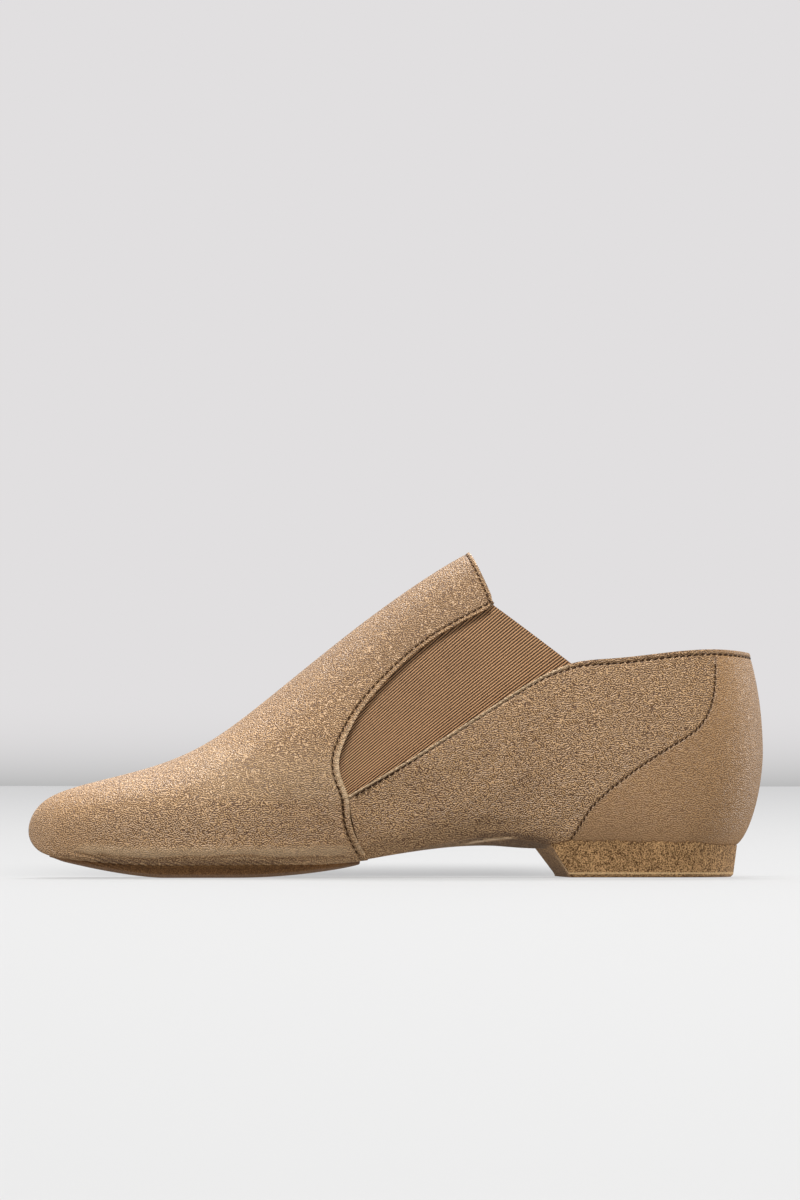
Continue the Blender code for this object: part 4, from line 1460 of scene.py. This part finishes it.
        # Lighter towards the sole's top and in a faint strip at its foot, with painted shade in the pleats'
        # folds.
        paint(sole, "rim", (0.8 * smoothstep((above - 2.4) / 2.8) + 0.12 * (above < 1.4)) * (1 - 0.7 * folds))
        shade(sole, 45)
        return add_piece(sole, "sole_leather", "forefoot_sole")

    def lip_ring(self, places: Array, side: Side) -> Array:
        """Points along the ragged upper edge of the heel's suede."""
        rag = np.sin(2.1 * places) + np.sin(3.7 * places + 0.8) + np.sin(0.45 * places + 2.0)
        rise = (self.lip + self.lip_rag * rag) * smoothstep((places - self.breast_top) / 7)
        rise = rise * (1 - 0.9 * smoothstep((places - self.last.heel_x - 4) / 20))
        row = self.last.section_at(np.minimum(places, self.last.heel_x), side)
        v = self.last.height_place(places, row["edge"] + self.heel_seat + rise, side)
        return self.last.offset(places, v, side, np.full_like(places, -self.lip_stand))

    def build_heel(self, finish: bpy.types.Material) -> bpy.types.Object:
        """Models the heel block with its slanted breast and chamfered foot."""
        last, sheets = self.last, []
        columns, rows = self.heel_grid
        places = self.breast_top + (last.back_q - self.breast_top) * np.linspace(0, 1, columns)
        out = np.linspace(0, 1, rows)
        back = (places - self.breast_top) / (last.back_q - self.breast_top)
        slant = self.breast_slant * np.clip(1 - 2 * back, 0, 1)[:, None]
        for side in Side:
            q = np.repeat(places[:, None], len(out), axis=1)
            top = last.point(q, last.feather * out + 0 * q, side)
            top[..., 2] += self.heel_seat
            edge = self.lip_ring(places, side)[:, None]
            foot = top * (1, self.heel_taper, 0)
            foot[..., 0] += slant
            inner = last.point(q, last.feather * (1 - self.heel_foot_inset) * out + 0 * q, side)
            inner = inner * (1, self.heel_taper, 0)
            inner[..., 0] += slant
            heights = np.append(np.linspace(0, 0.9, 9), (0.945, 1.0))[None, :, None]
            brim = foot[:, -1:] + (0, 0, self.heel_chamfer)
            wall = edge + (brim - edge) * heights
            loop = np.concatenate([top, wall, inner[:, ::-1]], axis=1)
            way = loop - np.mean(loop, axis=(0, 1), keepdims=True)
            sheets.append(make_grid("heel_half", loop, way))
        heel = join("heel_block", sheets)
        with editing(heel):
            bpy.ops.mesh.select_mode(type="EDGE")
            bpy.ops.mesh.select_all(action="DESELECT")
            bpy.ops.mesh.select_non_manifold(use_multi_face=False, use_non_contiguous=False, use_verts=False)
            bpy.ops.mesh.edge_face_add()
            bpy.ops.mesh.select_all(action="SELECT")
            bpy.ops.mesh.normals_make_consistent(inside=False)
        heel.data.materials.append(finish)
        x, _, z = vertex_places(heel).T
        front = self.breast_top + self.breast_slant * (1 - z / self.heel_height)
        breast = smoothstep((front + 0.6 - x) / 0.5)
        line = bell(z, self.heel_line, 0.3) * (1 - breast)
        tread_shade = 1 - smoothstep((z - 0.3) / 0.6)
        # A pale line round the heel's foot; painted shade on the heel's lowest band just above the floor, and
        # lighter painted shade on the breast.
        paint(heel, "rim", 0.95 * line - 0.6 * np.maximum(tread_shade, 0.3 * breast))
        shade(heel, 40)
        return add_piece(heel, "heel_suede", "heel")


@dataclass
class Studio:
    """Pale floor that sweeps up to a pale wall, soft lights and the camera."""

    distance: float = 1.8
    azimuth: float = -5.0
    eye_height: float = 0.018
    aim: tuple[float, float, float] = (0.0011, 0.0, 0.0934)
    frame_height: float = 0.405
    sensor: float = 36.0
    floor_reach: float = 4000.0
    floor_z: float = -0.2             # just under the sole
    sweep_start: float = 100.0        # where the floor begins to rise
    sweep_bend: float = 1.15
    wall_y: float = 2300.0
    wall_foot: float = 46.8
    wall_shade_top: float = 127.0
    floor_colour: Colour = (0.09, 0.09, 0.09)
    floor_glow: Colour = (0.56, 0.56, 0.56)
    floor_far_glow: Colour = (0.45, 0.45, 0.455)
    floor_shade: Colour = (0.22, 0.22, 0.223)
    wall_colour: Colour = linear(225, 223, 224)
    wall_shade: Colour = linear(186, 186, 186)

    def backdrop(self) -> None:
        """Models the floor and the wall behind it, both glowing, with a painted shadow on the floor behind
        the shoe and painted shade at the wall's foot.
        """
        reach, start = self.floor_reach, self.sweep_start
        across = np.array([-reach, 0.0, reach])
        back = np.array([-reach, -600.0, start, 300.0, 700.0, 1200.0, 1800.0, self.wall_y])
        sweep = np.clip((back - start) / (self.wall_y - start), 0, 1) ** self.sweep_bend
        x, y = np.meshgrid(across, back, indexing="ij")
        z = self.wall_foot * sweep + self.floor_z + 0 * x
        floor = make_grid("studio_floor", np.stack([x, y, z], axis=-1))
        sheet = NodeSheet("pale floor")
        along, away, _ = sheet.split(sheet.place())
        # A painted soft shadow on the floor just behind the shoe.
        under = away.ramp(-0.02, 0.09) * (1.0 - away.ramp(0.09, 0.32))
        under = under * along.ramp(-0.15, -0.03) * (1.0 - along.ramp(0.04, 0.14))
        glow = sheet.mix(away.ramp(0.2, 2.2), self.floor_glow, self.floor_far_glow)
        glow = sheet.mix(under, glow, self.floor_shade)
        floor.data.materials.append(sheet.set(
            Base_Color=self.floor_colour, Roughness=0.75, Specular_IOR_Level=0.2,
            Emission_Color=glow, Emission_Strength=1.0,
        ))
        x, z = np.meshgrid(across, np.array([self.wall_foot - 1.0, 400.0, 3000.0]), indexing="ij")
        wall = make_grid("studio_wall", np.stack([x, self.wall_y + 0 * x, z], axis=-1))
        sheet = NodeSheet("pale wall")
        height = sheet.split(sheet.place())[2]
        # Painted shade, darker towards the wall's foot.
        foot = {0: height, 1: self.wall_foot * MM, 2: self.wall_shade_top * MM, 3: 0.0, 4: 1.0}
        left = 1.0 - sheet.add("ShaderNodeMapRange", {}, foot)
        tone = sheet.mix(left * left * left, self.wall_colour, self.wall_shade)
        black = (0.0, 0.0, 0.0)
        wall.data.materials.append(
            sheet.set(Base_Color=black, Emission_Color=tone, Emission_Strength=1.0, Specular_IOR_Level=0.0)
        )
        floor.visible_glossy = False

    def light(self, name: str, place: Sequence[float], size: float, watts: float, gloss: float = 1.0) -> None:
        """Adds a square soft light that shines on the shoe.

        Args:
            name: Its name.
            place: Where it stands, in metres.
            size: Length of its sides, in metres.
            watts: Its power.
            gloss: Share of it that shows in highlights.
        """
        lamp = bpy.data.lights.new(name, "AREA")
        lamp.size, lamp.energy, lamp.specular_factor = size, watts, gloss
        made = bpy.data.objects.new(name, lamp)
        made.location = place
        aim = Vector((0, 0, 0.04)) - Vector(place)
        made.rotation_euler = aim.to_track_quat("-Z", "Y").to_euler()
        bpy.context.scene.collection.objects.link(made)

    def lights(self) -> None:
        """Sets the soft lights and the sky's fill."""
        self.light("key light", (-0.4, -1.25, 3.0), 1.3, 124.0)
        self.light("sheen light", (0.4, 2.0, 2.2), 1.2, 72.0)
        self.light("front light", (0.2, -2.4, 0.3), 1.0, 6.5, 0.0)
        self.light("heel light", (2.2, 0.6, 0.4), 0.8, 27.0, 0.3)
        self.light("toe light", (-2.2, 0.5, 0.7), 0.8, 20.0)
        world = bpy.context.scene.world or bpy.data.worlds.new("fill")
        bpy.context.scene.world = world
        world.use_nodes = True
        sky = world.node_tree.nodes["Background"]
        sky.inputs[0].default_value = (1.0, 0.95, 0.88, 1.0)
        sky.inputs[1].default_value = 0.12
        bpy.context.scene.view_settings.view_transform = "Standard"

    def camera(self) -> None:
        """Sets the camera at the photograph's angle."""
        turn = math.radians(self.azimuth)
        lens = bpy.data.cameras.new("camera")
        lens.sensor_width = self.sensor
        lens.lens = self.sensor * self.distance / self.frame_height
        lens.clip_end = 50.0
        eye = bpy.data.objects.new("camera", lens)
        aim = Vector(self.aim)
        place = aim + Vector((math.sin(turn), -math.cos(turn), 0.0)) * self.distance
        place.z = self.eye_height
        eye.location = place
        eye.rotation_euler = (aim - place).to_track_quat("-Z", "Y").to_euler()
        bpy.context.scene.collection.objects.link(eye)
        bpy.context.scene.camera = eye


def main() -> None:
    """Builds the boot's pieces and the studio."""
    logging.basicConfig(level=logging.INFO, format="%(name)s %(message)s")
    last = Last()
    leather = GrainedLeather().material()
    lining = WovenLining("tan lining", linear(196, 170, 140), linear(150, 122, 92)).material()
    sock = WovenLining("insole cloth", linear(186, 158, 128), linear(138, 110, 82), 0.7).material()
    elastic = RibbedElastic().material()
    thread = SewingThread().material()
    pad_colours = linear(138, 99, 60), linear(90, 60, 33), linear(184, 143, 95)
    pad_suede = Suede("sole suede", *pad_colours).material()
    heel_colours = linear(208, 164, 112), linear(80, 52, 25), linear(226, 190, 140)
    heel_suede = Suede("heel suede", *heel_colours).material()

    upper = LeatherUpper(last)
    upper.build_vamp((leather, lining))
    upper.build_quarters((leather, lining))
    gore = ElasticGore(upper)
    for side in Side:
        gore.build(side, elastic)
    Stitching(upper).build(thread)
    sole = SoleUnit(last, upper)
    sole.build_insole(sock)
    sole.build_sole(pad_suede)
    sole.build_heel(heel_suede)

    studio = Studio()
    studio.backdrop()
    studio.lights()
    studio.camera()
    deselect()
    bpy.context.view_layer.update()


if __name__ == "__main__":
    main()
